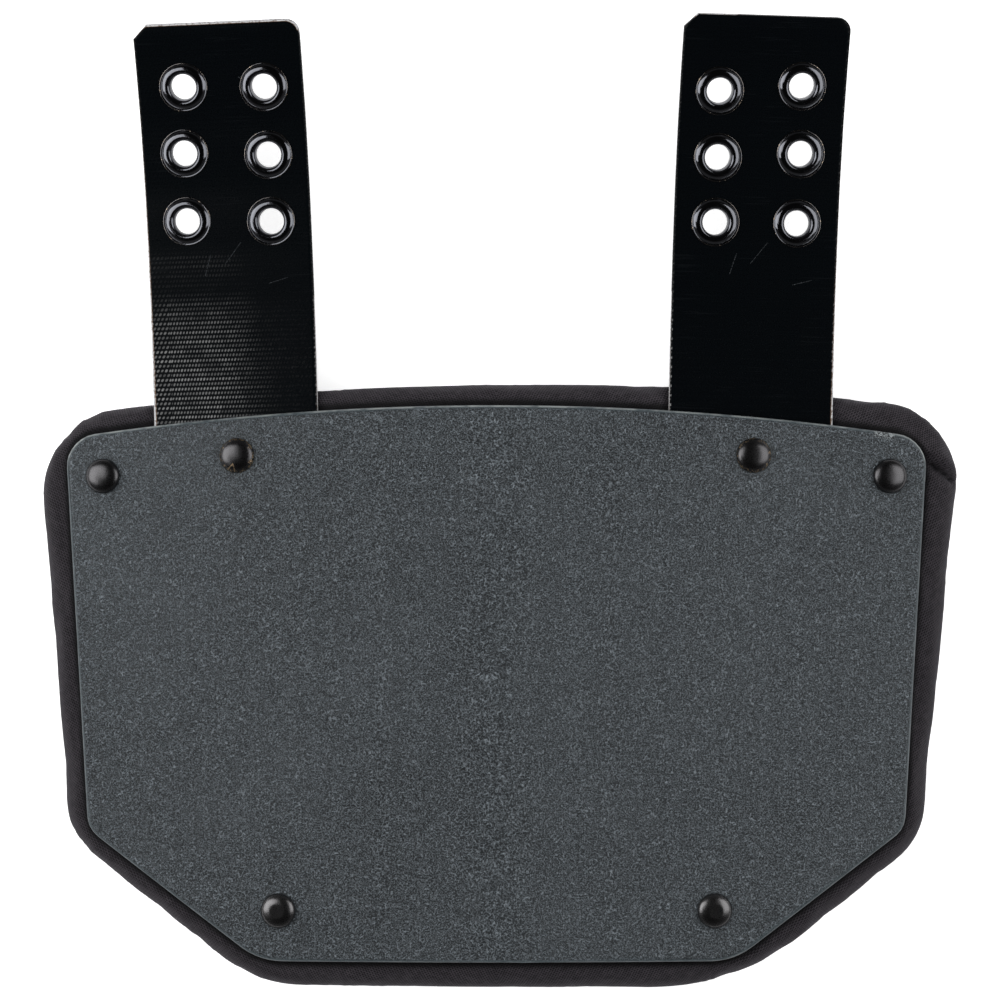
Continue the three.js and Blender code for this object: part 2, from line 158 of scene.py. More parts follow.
def outward(loop: np.ndarray) -> np.ndarray:
    """Normals of an anticlockwise loop.

    Args:
        loop: Corners of the loop as rows of x and y.

    Returns:
        A unit normal for each corner that points out of the loop.
    """
    along = np.roll(loop, -1, axis=0) - np.roll(loop, 1, axis=0)
    along /= np.linalg.norm(along, axis=1)[:, None]
    return np.column_stack((along[:, 1], -along[:, 0]))


def spaced(loop: np.ndarray, count: int) -> np.ndarray:
    """Closed loop with its points set evenly along it.

    Args:
        loop: Corners of the loop as rows of x and y.
        count: Number of points.

    Returns:
        The points as rows of x and y.
    """
    closed = np.vstack((loop, loop[:1]))
    run = np.concatenate(([0], np.cumsum(np.linalg.norm(np.diff(closed, axis=0), axis=1))))
    stations = np.linspace(0, run[-1], count, endpoint=False)
    return np.column_stack([np.interp(stations, run, closed[:, axis]) for axis in (0, 1)])


class Bench:
    """Blender's modelling tools, used on one piece at a time."""

    @staticmethod
    def clear() -> None:
        """Deselect every object."""
        bpy.ops.object.select_all(action="DESELECT")

    @staticmethod
    def lone(piece: Piece) -> None:
        """Select one piece alone and make it active.

        Args:
            piece: The piece.
        """
        Bench.clear()
        piece.select_set(True)
        bpy.context.view_layer.objects.active = piece

    @staticmethod
    def keep(name: str) -> Piece:
        """Name the primitive that was just added and bring its place into its mesh.

        Args:
            name: Name of the piece.

        Returns:
            The piece.
        """
        piece = bpy.context.object
        piece.name = name
        piece.data.name = name
        bpy.ops.object.transform_apply(location=True, rotation=True, scale=True)
        return piece

    @staticmethod
    def loop(name: str, points: np.ndarray) -> Piece:
        """Make a closed loop of edges: a circle whose corners are moved to the points.

        Args:
            name: Name of the piece.
            points: Corners in order as rows of x, y and z.

        Returns:
            The piece.
        """
        Bench.clear()
        bpy.ops.mesh.primitive_circle_add(vertices=len(points), radius=float(np.abs(points).max()))
        piece = Bench.keep(name)
        Bench.move(piece, points)
        return piece

    @staticmethod
    def points(piece: Piece) -> np.ndarray:
        """Vertices of a piece.

        Args:
            piece: The piece.

        Returns:
            Their places as rows of x, y and z.
        """
        flat = np.empty(len(piece.data.vertices) * 3)
        piece.data.vertices.foreach_get("co", flat)
        return flat.reshape(-1, 3)

    @staticmethod
    def move(piece: Piece, points: np.ndarray) -> None:
        """Move the vertices of a piece to new places."""
        piece.data.vertices.foreach_set("co", np.ravel(points))
        piece.data.update()

    @staticmethod
    @contextmanager
    def editing(piece: Piece, pick: Pick, edges: Edges | None = None) -> Iterator[None]:
        """Hold a piece in edit mode with everything or some edges selected.

        Args:
            piece: The piece.
            pick: Kind of element that is selected.
            edges: The edges to select, or None for everything.

        Returns:
            A context in which the piece is in edit mode.
        """
        mesh = piece.data
        if edges is not None:
            ends = {end for edge in edges for end in edge}
            mesh.vertices.foreach_set("select", [vertex.index in ends for vertex in mesh.vertices])
            mesh.edges.foreach_set("select", [edge.key in edges for edge in mesh.edges])
            mesh.polygons.foreach_set("select", [False] * len(mesh.polygons))
        Bench.lone(piece)
        bpy.context.tool_settings.mesh_select_mode = pick.value
        bpy.ops.object.mode_set(mode="EDIT")
        if edges is None:
            bpy.ops.mesh.select_all(action="SELECT")
        yield
        bpy.ops.object.mode_set(mode="OBJECT")

    @staticmethod
    def edges(piece: Piece, test: Callable[[Vector], bool]) -> Edges:
        """Edges of a piece with both ends where the test holds."""
        passed = {vertex.index for vertex in piece.data.vertices if test(vertex.co)}
        return {edge.key for edge in piece.data.edges if passed.issuperset(edge.key)}

    @staticmethod
    def bevel(piece: Piece, edges: Edges, offset: float, segments: int) -> None:
        """Bevel some edges of a piece, by a width and a number of faces across it."""
        with Bench.editing(piece, Pick.EDGE, edges):
            bpy.ops.mesh.bevel(offset=offset, segments=segments, profile=0.5, affect="EDGES")

    @staticmethod
    def slab(name: str, loop: np.ndarray, top: float, bottom: float, gridded: bool) -> Piece:
        """Make a flat slab: a loop filled with faces and extruded down.

        Args:
            name: Name of the piece.
            loop: Outline as rows of x and y, anticlockwise.
            top: Height of its upper face.
            bottom: Height of its lower face.
            gridded: Whether its faces are grids of small squares.

        Returns:
            The piece.
        """
        piece = Bench.loop(name, np.column_stack((loop, np.full(len(loop), top))))
        with Bench.editing(piece, Pick.EDGE):
            if gridded:
                bpy.ops.mesh.fill_grid(span=len(loop) // 3)
            else:
                bpy.ops.mesh.edge_face_add()
            bpy.ops.mesh.select_all(action="SELECT")
            bpy.ops.mesh.extrude_region_move(TRANSFORM_OT_translate={"value": (0, 0, bottom - top)})
            bpy.ops.mesh.select_all(action="SELECT")
            bpy.ops.mesh.normals_make_consistent(inside=False)
        return piece

    @staticmethod
    def round_rim(piece: Piece, height: float, offset: float, segments: int) -> None:
        """Bevel the rim of a slab's upper or lower face.

        Args:
            piece: The slab, drawn flat.
            height: Height of the face.
            offset: Width of the bevel.
            segments: Number of faces across it.
        """
        level = Bench.edges(piece, lambda place: abs(place.z - height) < WELD)
        upright = [face for face in piece.data.polygons if abs(face.normal.z) < 0.5]
        sides = {key for face in upright for key in face.edge_keys}
        Bench.bevel(piece, level & sides, offset, segments)

    @staticmethod
    def apply(piece: Piece, kind: str, **settings: object) -> None:
        """Add a modifier to a piece and apply it.

        Args:
            piece: The piece.
            kind: Blender's name for the modifier.
            settings: Values set on the modifier.
        """
        Bench.lone(piece)
        bpy.ops.object.modifier_add(type=kind)
        modifier = piece.modifiers[-1]
        for name, value in settings.items():
            setattr(modifier, name, value)
        bpy.ops.object.modifier_apply(modifier=modifier.name)

    @staticmethod
    def drill(
        piece: Piece, holes: Sequence[tuple[float, float]], radius: float, reach: float
    ) -> None:
        """Cut round holes along Z through a piece that is drawn flat.

        Args:
            piece: The piece.
            holes: Middles of the holes.
            radius: Radius of each hole.
            reach: How far the cutters go above and below the drawing's zero.
        """
        cutters = []
        for x, y in holes:
            bpy.ops.mesh.primitive_cylinder_add(
                vertices=48, radius=radius, depth=2 * reach, location=(x, y, 0))
            cutters.append(bpy.context.object)
        for cutter in cutters:
            cutter.select_set(True)
        bpy.ops.object.join()
        joined = bpy.context.object
        Bench.apply(piece, "BOOLEAN", operation="DIFFERENCE", object=joined, solver="EXACT")
        bpy.data.objects.remove(joined)

    @staticmethod
    def turn(name: str, section: np.ndarray, steps: int) -> Piece:
        """Make a turned shape: a closed half section spun round the Z axis.

        Args:
            name: Name of the piece.
            section: Corners of the section as rows of radius and height.
            steps: Number of sides.

        Returns:
            The piece.
        """
        radius, height = section.T
        piece = Bench.loop(name, np.column_stack((radius, np.zeros(len(section)), height)))
        with Bench.editing(piece, Pick.VERTEX):
            bpy.ops.mesh.spin(steps=steps, angle=math.tau, center=(0, 0, 0), axis=(0, 0, 1))
            bpy.ops.mesh.select_all(action="SELECT")
            bpy.ops.mesh.remove_doubles(threshold=WELD)
            bpy.ops.mesh.delete_loose()
            bpy.ops.mesh.select_all(action="SELECT")
            bpy.ops.mesh.normals_make_consistent(inside=False)
        return piece

    @staticmethod
    def copy(piece: Piece, name: str, place: Matrix) -> Piece:
        """Copy a piece with a mesh of its own, and put the copy in its place.

        Args:
            piece: The piece to copy.
            name: Name of the copy.
            place: Place of the copy.

        Returns:
            The copy.
        """
        twin = piece.copy()
        twin.data = piece.data.copy()
        twin.name = name
        twin.data.name = name
        twin.data.transform(place)
        bpy.context.collection.objects.link(twin)
        return twin

    @staticmethod
    def smooth(piece: Piece, degrees: float) -> None:
        """Shade a piece smooth, with edges sharper than an angle kept."""
        Bench.lone(piece)
        bpy.ops.object.shade_smooth_by_angle(angle=math.radians(degrees))

    @staticmethod
    def note(piece: Piece, name: str, values: np.ndarray) -> None:
        """Store a number or a vector for each vertex of a piece.

        Args:
            piece: The piece.
            name: Name of the attribute.
            values: One number or one row of three for each vertex.
        """
        kind, key = ("FLOAT", "value") if values.ndim == 1 else ("FLOAT_VECTOR", "vector")
        attribute = piece.data.attributes.new(name, kind, "POINT")
        attribute.data.foreach_set(key, np.ravel(values).astype(np.float32))

    @staticmethod
    def finish(piece: Piece, material: Material, slot: Slot, node: str) -> None:
        """Dress a finished piece and put it in the place of a CAD node.

        Args:
            piece: The piece.
            material: Its material.
            slot: Slot of the record for the piece; not used.
            node: Name of the CAD node that it stands for.
        """
        piece.data.materials.clear()
        piece.data.materials.append(material)
        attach(piece, BODY)
        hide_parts(node)
        log.info("%s: %d faces", piece.name, len(piece.data.polygons))


class Wire:
    """Output of a node, with Python's operators for Blender's Math node."""

    def __init__(self, graph: "Graph", socket: Socket) -> None:
        """Hold an output."""
        self.graph = graph
        self.socket = socket

    def __add__(self, other: "Value") -> "Wire":
        """Sum."""
        return self.graph.math("ADD", self, other)

    def __sub__(self, other: "Value") -> "Wire":
        """Difference."""
        return self.graph.math("SUBTRACT", self, other)

    def __rsub__(self, other: "Value") -> "Wire":
        """Difference from a number."""
        return self.graph.math("SUBTRACT", other, self)

    def __mul__(self, other: "Value") -> "Wire":
        """Product."""
        return self.graph.math("MULTIPLY", self, other)

    def __truediv__(self, other: "Value") -> "Wire":
        """Quotient."""
        return self.graph.math("DIVIDE", self, other)

    def __pow__(self, other: "Value") -> "Wire":
        """Power."""
        return self.graph.math("POWER", self, other)

    def __abs__(self) -> "Wire":
        """Size without its sign."""
        return self.graph.math("ABSOLUTE", self)

    def clamped(self) -> "Wire":
        """The same, kept between 0 and 1."""
        self.socket.node.use_clamp = True
        return self


Value = Wire | float | tuple[float, ...]


class Graph:
    """Nodes and links of one node tree."""

    def __init__(self, tree: bpy.types.NodeTree) -> None:
        """Start with an empty tree."""
        self.tree = tree
        tree.nodes.clear()

    def add(
        self, kind: str, inputs: Mapping[str | int, Value] | None = None, **settings: object
    ) -> bpy.types.Node:
        """Add a node.

        Args:
            kind: Blender's name for the node, without its prefix.
            inputs: Values and links of its inputs.
            settings: Values set on the node itself.

        Returns:
            The node.
        """
        node = self.tree.nodes.new(f"ShaderNode{kind}")
        for name, value in settings.items():
            setattr(node, name, value)
        for name, value in (inputs or {}).items():
            self.feed(node.inputs[name], value)
        return node

    def feed(self, socket: Socket, value: Value) -> None:
        """Link or set one input.

        Args:
            socket: The input.
            value: What it gets.
        """
        if isinstance(value, Wire):
            self.tree.links.new(value.socket, socket)
        else:
            socket.default_value = value

    def wire(
        self, kind: str, output: str | int, inputs: Mapping[str | int, Value] | None = None,
        **settings: object
    ) -> Wire:
        """One output of a new node."""
        return Wire(self, self.add(kind, inputs, **settings).outputs[output])

    def math(self, operation: str, *values: Value) -> Wire:
        """Result of a sum on up to three values."""
        return self.wire("Math", 0, dict(enumerate(values)), operation=operation)

    def vector(self, operation: str, *values: Value, output: int = 0) -> Wire:
        """Result of a sum on vectors."""
        return self.wire("VectorMath", output, dict(enumerate(values)), operation=operation)

    def split(self, vector: Value) -> list[Wire]:
        """The three parts of a vector."""
        return [Wire(self, part) for part in self.add("SeparateXYZ", {0: vector}).outputs]

    def join(self, *parts: Value) -> Wire:
        """Vector of two or three parts."""
        return self.wire("CombineXYZ", 0, dict(enumerate(parts)))

    def turned(self, place: Value, angle: float, stretch: tuple[float, ...] = (1.0, 1.0, 1.0)) -> Wire:
        """Place turned round Z and stretched."""
        turn = {"Vector": place, "Rotation": (0.0, 0.0, angle), "Scale": stretch}
        return self.wire("Mapping", 0, turn)

    def step(self, value: Value, low: float, high: float) -> Wire:
        """Smooth step of a value from 0 at low to 1 at high."""
        inputs = {"Value": value, "From Min": low, "From Max": high}
        return self.wire("MapRange", 0, inputs, interpolation_type="SMOOTHSTEP")

    def mix(self, share: Value, first: Value, second: Value) -> Wire:
        """Blend of two colours, by the share of the second."""
        return self.wire("Mix", 2, {0: share, 6: first, 7: second}, data_type="RGBA")

    def blend(self, share: Value, first: Value, second: Value) -> Wire:
        """Blend of two numbers, by the share of the second."""
        return self.wire("Mix", 0, {0: share, 2: first, 3: second}, data_type="FLOAT")

    def noise(self, place: Value, scale: float, detail: float = 2.0, roughness: float = 0.5) -> Wire:
        """Smooth noise from 0 to 1, with finer layers by detail, of a weight by roughness."""
        inputs = {"Vector": place, "Scale": scale, "Detail": detail, "Roughness": roughness}
        return self.wire("TexNoise", 0, inputs)

    def attribute(self, name: str, output: str = "Fac") -> Wire:
        """Attribute stored on the mesh."""
        return self.wire("Attribute", output, attribute_name=name)

    def object_place(self) -> Wire:
        """Place on the object, in millimetres."""
        return self.vector("MULTIPLY", self.wire("TexCoord", "Object"), (1 / MM, 1 / MM, 1 / MM))


class NodeGroup(Graph):
    """Node group with named inputs and outputs."""

    def __init__(self, name: str, inputs: Mapping[str, float | None], outputs: Sequence[str]) -> None:
        """Make an empty group.

        Args:
            name: Name of the group.
            inputs: Names of its inputs with their usual values, None for a vector.
            outputs: Names of its outputs.
        """
        super().__init__(bpy.data.node_groups.new(name, "ShaderNodeTree"))
        for label, usual in inputs.items():
            kind = "NodeSocketVector" if usual is None else "NodeSocketFloat"
            socket = self.tree.interface.new_socket(label, in_out="INPUT", socket_type=kind)
            if usual is not None:
                socket.default_value = usual
        for label in outputs:
            self.tree.interface.new_socket(label, in_out="OUTPUT", socket_type="NodeSocketFloat")
        self.start = self.tree.nodes.new("NodeGroupInput")
        self.end = self.tree.nodes.new("NodeGroupOutput")

    def given(self, name: str) -> Wire:
        """One of the group's inputs."""
        return Wire(self, self.start.outputs[name])

    def put(self, name: str, value: Value) -> None:
        """Feed one of the group's outputs."""
        self.feed(self.end.inputs[name], value)

    def sized(self) -> Wire:
        """The group's Place, with its Size as the unit."""
        size = self.given("Size")
        return self.vector("DIVIDE", self.given("Place"), self.join(size, size, size))


class Effects:
    """Shader node groups that several finishes share."""

    def __init__(self) -> None:
        """Build every group once."""
        self.pebbles = self._pebbles().tree
        self.threads = self._threads().tree
        self.wear = self._wear().tree
        self.scuffs = self._scuffs().tree
        self.scratch = self._scratch().tree

    @staticmethod
    def _pebbles() -> NodeGroup:
        """Make the grain of moulded plastic: short raised worms on a ground of small lumps. Its second
        output marks the worms and lump tops for a painted highlight.

        Returns:
            The group.
        """
        group = NodeGroup("pebble_grain", {"Place": None, "Size": 1.0}, ("Height", "Painted Glint"))
        place = group.sized()
        crest = (1.0 - abs(group.noise(place, 1.25, 0.0) - 0.5) * 9.0).clamped()
        worm = crest * group.step(group.noise(place, 1.8, 0.0), 0.3, 0.56)
        lumps = group.noise(place, 2.3, 1.0)
        group.put("Height", worm * 0.9 + lumps)
        # Mask for the painted highlight on the worms and lump tops.
        group.put("Painted Glint", (worm * 0.75 + group.step(lumps, 0.42, 0.72) * 0.4).clamped())
        return group

    @staticmethod
    def _threads() -> NodeGroup:
        """Make crossed threads: rows of short crowns, each row shifted by half a thread.

        Returns:
            The group.
        """
        group = NodeGroup(
            "crossed_threads",
            {"Place": None, "Warp": 1.0, "Row": 1.0, "Slant": 0.0, "Unevenness": 0.0, "Bluntness": 0.7},
            ("Height", "Odd Row"),
        )
        across, along, _ = group.split(group.given("Place"))
        rows = along / group.given("Row")
        rise = group.math("FRACT", rows)
        row = group.math("FLOOR", rows)
        odd = group.math("FLOORED_MODULO", row, 2.0)
        leaning = (rise - 0.5) * group.given("Slant") + across / group.given("Warp")
        column = odd * 0.5 + leaning
        crown = group.math("SINE", group.math("FRACT", column) * math.pi)
        swell = group.math("SINE", rise * math.pi)
        blunt = group.given("Bluntness")
        cell = group.join(group.math("FLOOR", column), row)
        chance = group.wire("TexWhiteNoise", 0, {"Vector": cell}, noise_dimensions="2D")
        loss = chance * group.given("Unevenness")
        group.put("Height", crown ** blunt * swell ** blunt * (1.0 - loss))
        group.put("Odd Row", odd)
        return group

    @staticmethod
    def _wear() -> NodeGroup:
        """Make wear that eats in from an edge in patches.

        Returns:
            The group.
        """
        group = NodeGroup("edge_wear", {"Place": None, "Edge": 0.0, "Amount": 0.5, "Size": 1.0}, ("Mask",))
        patches = group.noise(group.sized(), 1.0, 3.0, 0.6) - 0.5
        depth = patches * 1.8 + group.given("Edge") - (1.0 - group.given("Amount"))
        group.put("Mask", (depth * 7.0).clamped())
        return group

    @staticmethod
    def _scuffs() -> NodeGroup:
        """Make fine scratches in two directions, gathered in patches.

        Returns:
            The group.
        """
        group = NodeGroup("fine_scuffs", {"Place": None, "Amount": 0.5}, ("Mask",))
        place = group.given("Place")
        masks = []
        for angle, stretch in ((0.5, (0.05, 1.9, 1.9)), (-0.9, (0.07, 2.4, 2.4))):
            masks.append(group.step(group.noise(group.turned(place, angle, stretch), 1.0, 0.0), 0.7, 0.77))
        patches = group.step(group.noise(place, 0.06, 1.0), 0.48, 0.62)
        group.put("Mask", (group.math("MAXIMUM", *masks) * patches * group.given("Amount")).clamped())
        return group

    @staticmethod
    def _scratch() -> NodeGroup:
        """Make one straight scratch between two places.

        Returns:
            The group.
        """
        inputs = {"Place": None, "Start": None, "End": None, "Width": 0.2}
        group = NodeGroup("straight_scratch", inputs, ("Mask",))
        place = group.given("Place")
        along = group.vector("SUBTRACT", group.given("End"), group.given("Start"))
        away = group.vector("SUBTRACT", place, group.given("Start"))
        reach = group.vector("DOT_PRODUCT", away, along, output=1)
        share = (reach / group.vector("DOT_PRODUCT", along, along, output=1)).clamped()
        nearest = group.wire("VectorMath", 0, {0: along, 3: share}, operation="SCALE")
        distance = group.vector("LENGTH", group.vector("SUBTRACT", away, nearest), output=1)
        frayed = group.noise(place, 2.5, 1.0) * 0.3 + distance
        group.put("Mask", (2.0 - frayed / group.given("Width")).clamped())
        return group


class Dye(Graph):
    """Start of a material: a graph with a Principled shader on its output."""

    def __init__(self, name: str, effects: Effects) -> None:
        """Make an empty material.

        Args:
            name: Name of the material.
            effects: Shared node groups.
        """
        self.material = bpy.data.materials.new(name)
        self.material.use_nodes = True
        super().__init__(self.material.node_tree)
        self.effects = effects
        self.shader = self.add("BsdfPrincipled")
        self.add("OutputMaterial", {"Surface": Wire(self, self.shader.outputs[0])})

    def group(self, tree: bpy.types.NodeTree, **inputs: Value) -> dict[str, Wire]:
        """Outputs of a shared group, placed with its own values."""
        node = self.add("Group", inputs, node_tree=tree)
        return {output.name: Wire(self, output) for output in node.outputs}

    def set(self, **values: Value) -> None:
        """Feed the shader's inputs, with underscores for the spaces in their names."""
        for name, value in values.items():
            self.feed(self.shader.inputs[name.replace("_", " ")], value)

    def scratches(self, place: Value, lines: Sequence[tuple[float, ...]], width: float) -> Wire:
        """Straight scratches on a face that looks up.

        Args:
            place: Place on the surface, in millimetres.
            lines: Start and end of each, as x, y, x and y in millimetres.
            width: Half the width of each, in millimetres.

        Returns:
            Their mask.
        """
        flat = self.vector("MULTIPLY", place, (1.0, 1.0, 0.0))
        mask: Value = 0.0
        for x0, y0, x1, y1 in lines:
            ends = {"Start": (x0, y0, 0.0), "End": (x1, y1, 0.0)}
            line = self.group(self.effects.scratch, Place=flat, Width=width, **ends)
            mask = self.math("MAXIMUM", mask, line["Mask"])
        return mask

    def bump(
        self, height: Value, distance: float, strength: float = 1.0, under: Value | None = None
    ) -> Wire:
        """Relief as a normal.

        Args:
            height: Height from 0 to 1.
            distance: Depth that a height of 1 stands for, in metres.
            strength: Share of the relief that shows.
            under: Normal of a relief below this one.

        Returns:
            The normal.
        """
        inputs = {"Height": height, "Distance": distance, "Strength": strength}
        if under is not None:
            inputs["Normal"] = under
        return self.wire("Bump", 0, inputs)


@dataclass(frozen=True)
class Finish:
    """Surface of one kind of piece."""

    name: str

    def material(self, effects: Effects) -> Material:
        """Make the material.

        Args:
            effects: Shared node groups.

        Returns:
            The material.
        """
        dye = Dye(self.name, effects)
        self.dress(dye)
        return dye.material

    def dress(self, dye: Dye) -> None:
        """Feed the shader of an empty material."""
        raise NotImplementedError(self.name)


@dataclass(frozen=True)
class PlateFinish(Finish):
    """Moulded slate grey plastic with a pebble grain and a smoother, paler rim, with painted highlights on
    the grain's raised worms and lumps and a broken painted highlight along the rim of the top edge.
    """

    name: str = "plate_plastic"
    ground: Colour = paint(16, 20, 23)
    cloud: Colour = paint(29, 33, 36)
    # Colour of the painted highlight on the grain's worms and lump tops.
    pale: Colour = paint(116, 124, 130)
    rim: Colour = paint(60, 69, 73)
    # Colour of the painted highlight along the top edge's rim.
    lit: Colour = paint(132, 137, 136)
    scuff: Colour = paint(98, 104, 107)
    pit: Colour = paint(14, 16, 18)
    crumb: Colour = paint(142, 148, 150)
    chip: tuple[float, ...] = (118.1, 22.6, 122.3, 21.9)
    chip_width: float = 0.9
    upper: tuple[float, float] = (12.0, 16.0)
    grain: float = 1.0
    relief: float = 0.3 * MM

    def dress(self, dye: Dye) -> None:
        """Feed the shader.

        Args:
            dye: The empty material.
        """
        place = dye.object_place()
        edge = dye.attribute(EDGE)
        pebbles = dye.group(dye.effects.pebbles, Place=place, Size=self.grain)
        ground = dye.mix(dye.step(dye.noise(place, 0.02), 0.3, 0.7), self.ground, self.cloud)
        # Painted highlight: the grain's raised worms and lump tops are paled as if they caught the lamps.
        grain_with_glints = dye.mix(pebbles["Painted Glint"], ground, self.pale)
        rim = dye.step(edge, 0.02, 0.35)
        rimmed = dye.mix(rim * 0.8, grain_with_glints, self.rim)
        # Painted highlight: a broken pale line along the rim of the top edge only, where that edge catches
        # the light.
        upper = dye.step(dye.split(place)[1], *self.upper)
        top_rim_highlight = dye.step(edge, 0.35, 0.7) * dye.step(dye.noise(place, 0.22), 0.32, 0.6)
        with_rim_highlight = dye.mix(top_rim_highlight * upper, rimmed, self.lit)
        worn = dye.group(dye.effects.wear, Place=place, Edge=edge, Amount=0.34, Size=5.0)["Mask"]
        cut = dye.mix(worn * 0.5, with_rim_highlight, self.scuff)
        crumbs = dye.mix(dye.step(dye.noise(place, 2.2, 1.0), 0.46, 0.56), self.pit, self.crumb)
        chipped = dye.scratches(place, [self.chip], self.chip_width)
        marked = dye.mix(chipped * 0.85, cut, crumbs)
        scuffs = dye.group(dye.effects.scuffs, Place=place, Amount=0.12)["Mask"]
        dye.set(
            Base_Color=dye.mix(scuffs, marked, self.scuff),
            Roughness=dye.blend(rim, dye.blend(pebbles["Painted Glint"], 0.58, 0.44), 0.4),
            Specular_IOR_Level=0.45,
            Normal=dye.bump(pebbles["Height"] * (1.0 - rim), self.relief),
        )


@dataclass(frozen=True)
class CoverFinish(Finish):
    """Black nylon cover, closely woven on the bias, with a soft sheen and a sewn seam, and painted shade on
    its front beside the plate and along the fold.
    """

    name: str = "cover_nylon"
    yarn: Colour = paint(51, 47, 52)
    slub: Colour = paint(61, 57, 62)
    valley: Colour = paint(4, 3, 5)
    # Colour of the painted shade beside the plate and along the fold.
    shade: Colour = paint(2, 2, 3)
    groove: Colour = paint(9, 8, 10)
    stitching: Colour = paint(58, 55, 60)
    sheen: Colour = paint(150, 145, 155)
    thread: float = 0.43
    bias: float = -46.0
    beside_plate: tuple[float, float] = (1.0, 3.0)
    shadow_beside_fold: tuple[float, float] = (0.2, 1.4)
    relief: float = 0.1 * MM

    def dress(self, dye: Dye) -> None:
        """Feed the shader.

        Args:
            dye: The empty material.
        """
        place = dye.attribute(THREADS, "Vector")
        across, along, out = dye.split(place)
        mirrored = dye.join(abs(across), along, out)
        height = dye.group(
            dye.effects.threads, Place=dye.turned(mirrored, math.radians(self.bias)),
            Warp=4.4 * self.thread, Row=self.thread, Unevenness=0.35)["Height"]
        slubs = dye.step(dye.noise(place, 0.35, 3.0, 0.6), 0.35, 0.7)
        cloth = dye.mix(dye.step(height, 0.1, 0.75), self.valley, dye.mix(slubs, self.yarn, self.slub))
        above, run, _ = dye.split(dye.attribute(SEAM, "Vector"))
        line = 1.0 - dye.step(abs(above), 0.15, 0.55)
        stitch = self._stitches(dye, above, run)
        # Painted shade: the front darkens to near black within a few millimetres of the plate's edge and of
        # the fold at the upper right corner.
        outside, crease, front = dye.split(dye.attribute(SHADE, "Vector"))
        beside = 1.0 - dye.step(outside, *self.beside_plate)
        fold_shadow = 1.0 - dye.step(crease, *self.shadow_beside_fold)
        shadow = dye.math("MAXIMUM", beside, fold_shadow) * front
        seamed = dye.mix(line * 0.85, dye.mix(shadow * 0.9, cloth, self.shade), self.groove)
        puckers = dye.bump(dye.noise(place, 0.09), 0.5 * MM, 0.35)
        sewn = dye.bump(stitch - line, 0.4 * MM, 0.8, puckers)
        dye.set(
            Base_Color=dye.mix(stitch, seamed, self.stitching),
            Roughness=dye.blend(height, 0.92, 0.72),
            Specular_IOR_Level=0.3,
            Sheen_Weight=0.25,
            Sheen_Roughness=0.45,
            Sheen_Tint=self.sheen,
            Normal=dye.bump(height, self.relief, 0.9, sewn),
        )

    @staticmethod
    def _stitches(dye: Dye, above: Wire, run: Wire) -> Wire:
        """Row of stitches beside the seam.

        Args:
            dye: The material.
            above: Height above the seam, in millimetres.
            run: Length along the seam, in millimetres.

        Returns:
            The stitches' mask.
        """
        pace = dye.math("FRACT", run / 3.2)
        dash = dye.step(pace, 0.12, 0.2) * dye.step(pace, 0.9, 0.82)
        return dash * (1.0 - dye.step(abs(above - 1.5), 0.18, 0.38))


@dataclass(frozen=True)
class WebbingFinish(Finish):
    """Black coated webbing whose weave shows through the coat, with a pale woven core at its cut edges."""

    name: str = "webbing_coat"
    coat: Colour = paint(4, 6, 8)
    rubbed: Colour = paint(30, 32, 35)
    scratch: Colour = paint(90, 94, 98)
    core: Colour = paint(186, 186, 188)
    fibre: Colour = paint(128, 122, 118)
    tan: Colour = paint(150, 118, 92)
    warp: float = 1.0
    row: float = 1.47
    selvedge: float = 6.0
    width: float = 51.8
    relief: float = 0.004 * MM
    thickening: tuple[float, float] = (28.0, 56.0)
    scratch_width: float = 0.12
    scratches: tuple[tuple[float, ...], ...] = (
        (-1.5, 60.0, 3.6, 66.5), (-8.0, 56.5, -6.0, 63.0),
        (12.0, 53.6, 18.0, 55.2), (6.0, 118.0, 9.5, 116.5),
    )

    def dress(self, dye: Dye) -> None:
        """Feed the shader.

        Args:
            dye: The empty material.
        """
        place = dye.attribute(THREADS, "Vector")
        across, along, _ = dye.split(place)
        body, border = (
            dye.group(
                dye.effects.threads, Place=place, Warp=stretch * self.warp, Row=self.row, Slant=slant,
                Unevenness=0.14, Bluntness=0.5)
            for stretch, slant in ((1.0, -0.4), (1.3, -0.5))
        )
        inner = self.width / 2 - self.selvedge
        is_border = dye.step(abs(across), inner - 0.2, inner + 0.2)
        height = dye.blend(is_border, body["Height"], border["Height"])
        odd = body["Odd Row"] * -0.35 + 1.0
        strands = dye.noise(place, 1.4)
        ragged = strands * 0.3 + (dye.attribute(EDGE) - 0.15)
        cut = 1.0 - dye.step(ragged, 0.72, 0.86)
        scorched = dye.step(ragged, 0.7, 0.84) - dye.step(ragged, 1.0, 1.25)
        fibres = dye.mix(dye.step(strands, 0.5, 0.66), self.core, self.fibre)
        skin = dye.group(dye.effects.scuffs, Place=place, Amount=0.12)["Mask"]
        coat = dye.mix(skin, self.coat, self.rubbed)
        seared = dye.mix((scorched * 0.35).clamped(), coat, self.tan)
        scratched = dye.scratches(place, self.scratches, self.scratch_width)
        skinned = dye.mix(scratched * 0.5, seared, self.scratch)
        worn_flat = dye.blend(dye.step(dye.noise(place, 0.16), 0.3, 0.6), 0.45, 1.0)
        thick = dye.blend(dye.step(along, *self.thickening), 1.0, 0.12)
        crowns = dye.step(height, 0.6, 0.88) * (odd * worn_flat * thick)
        dye.set(
            Base_Color=dye.mix(cut, skinned, fibres),
            Roughness=dye.blend(cut, dye.blend(height, 0.3, 0.22), 0.7),
            Specular_IOR_Level=0.04,
            Coat_Weight=(crowns - cut).clamped(),
            Coat_Roughness=0.08,
            Coat_IOR=1.8,
            Normal=dye.bump(height * odd, self.relief),
        )


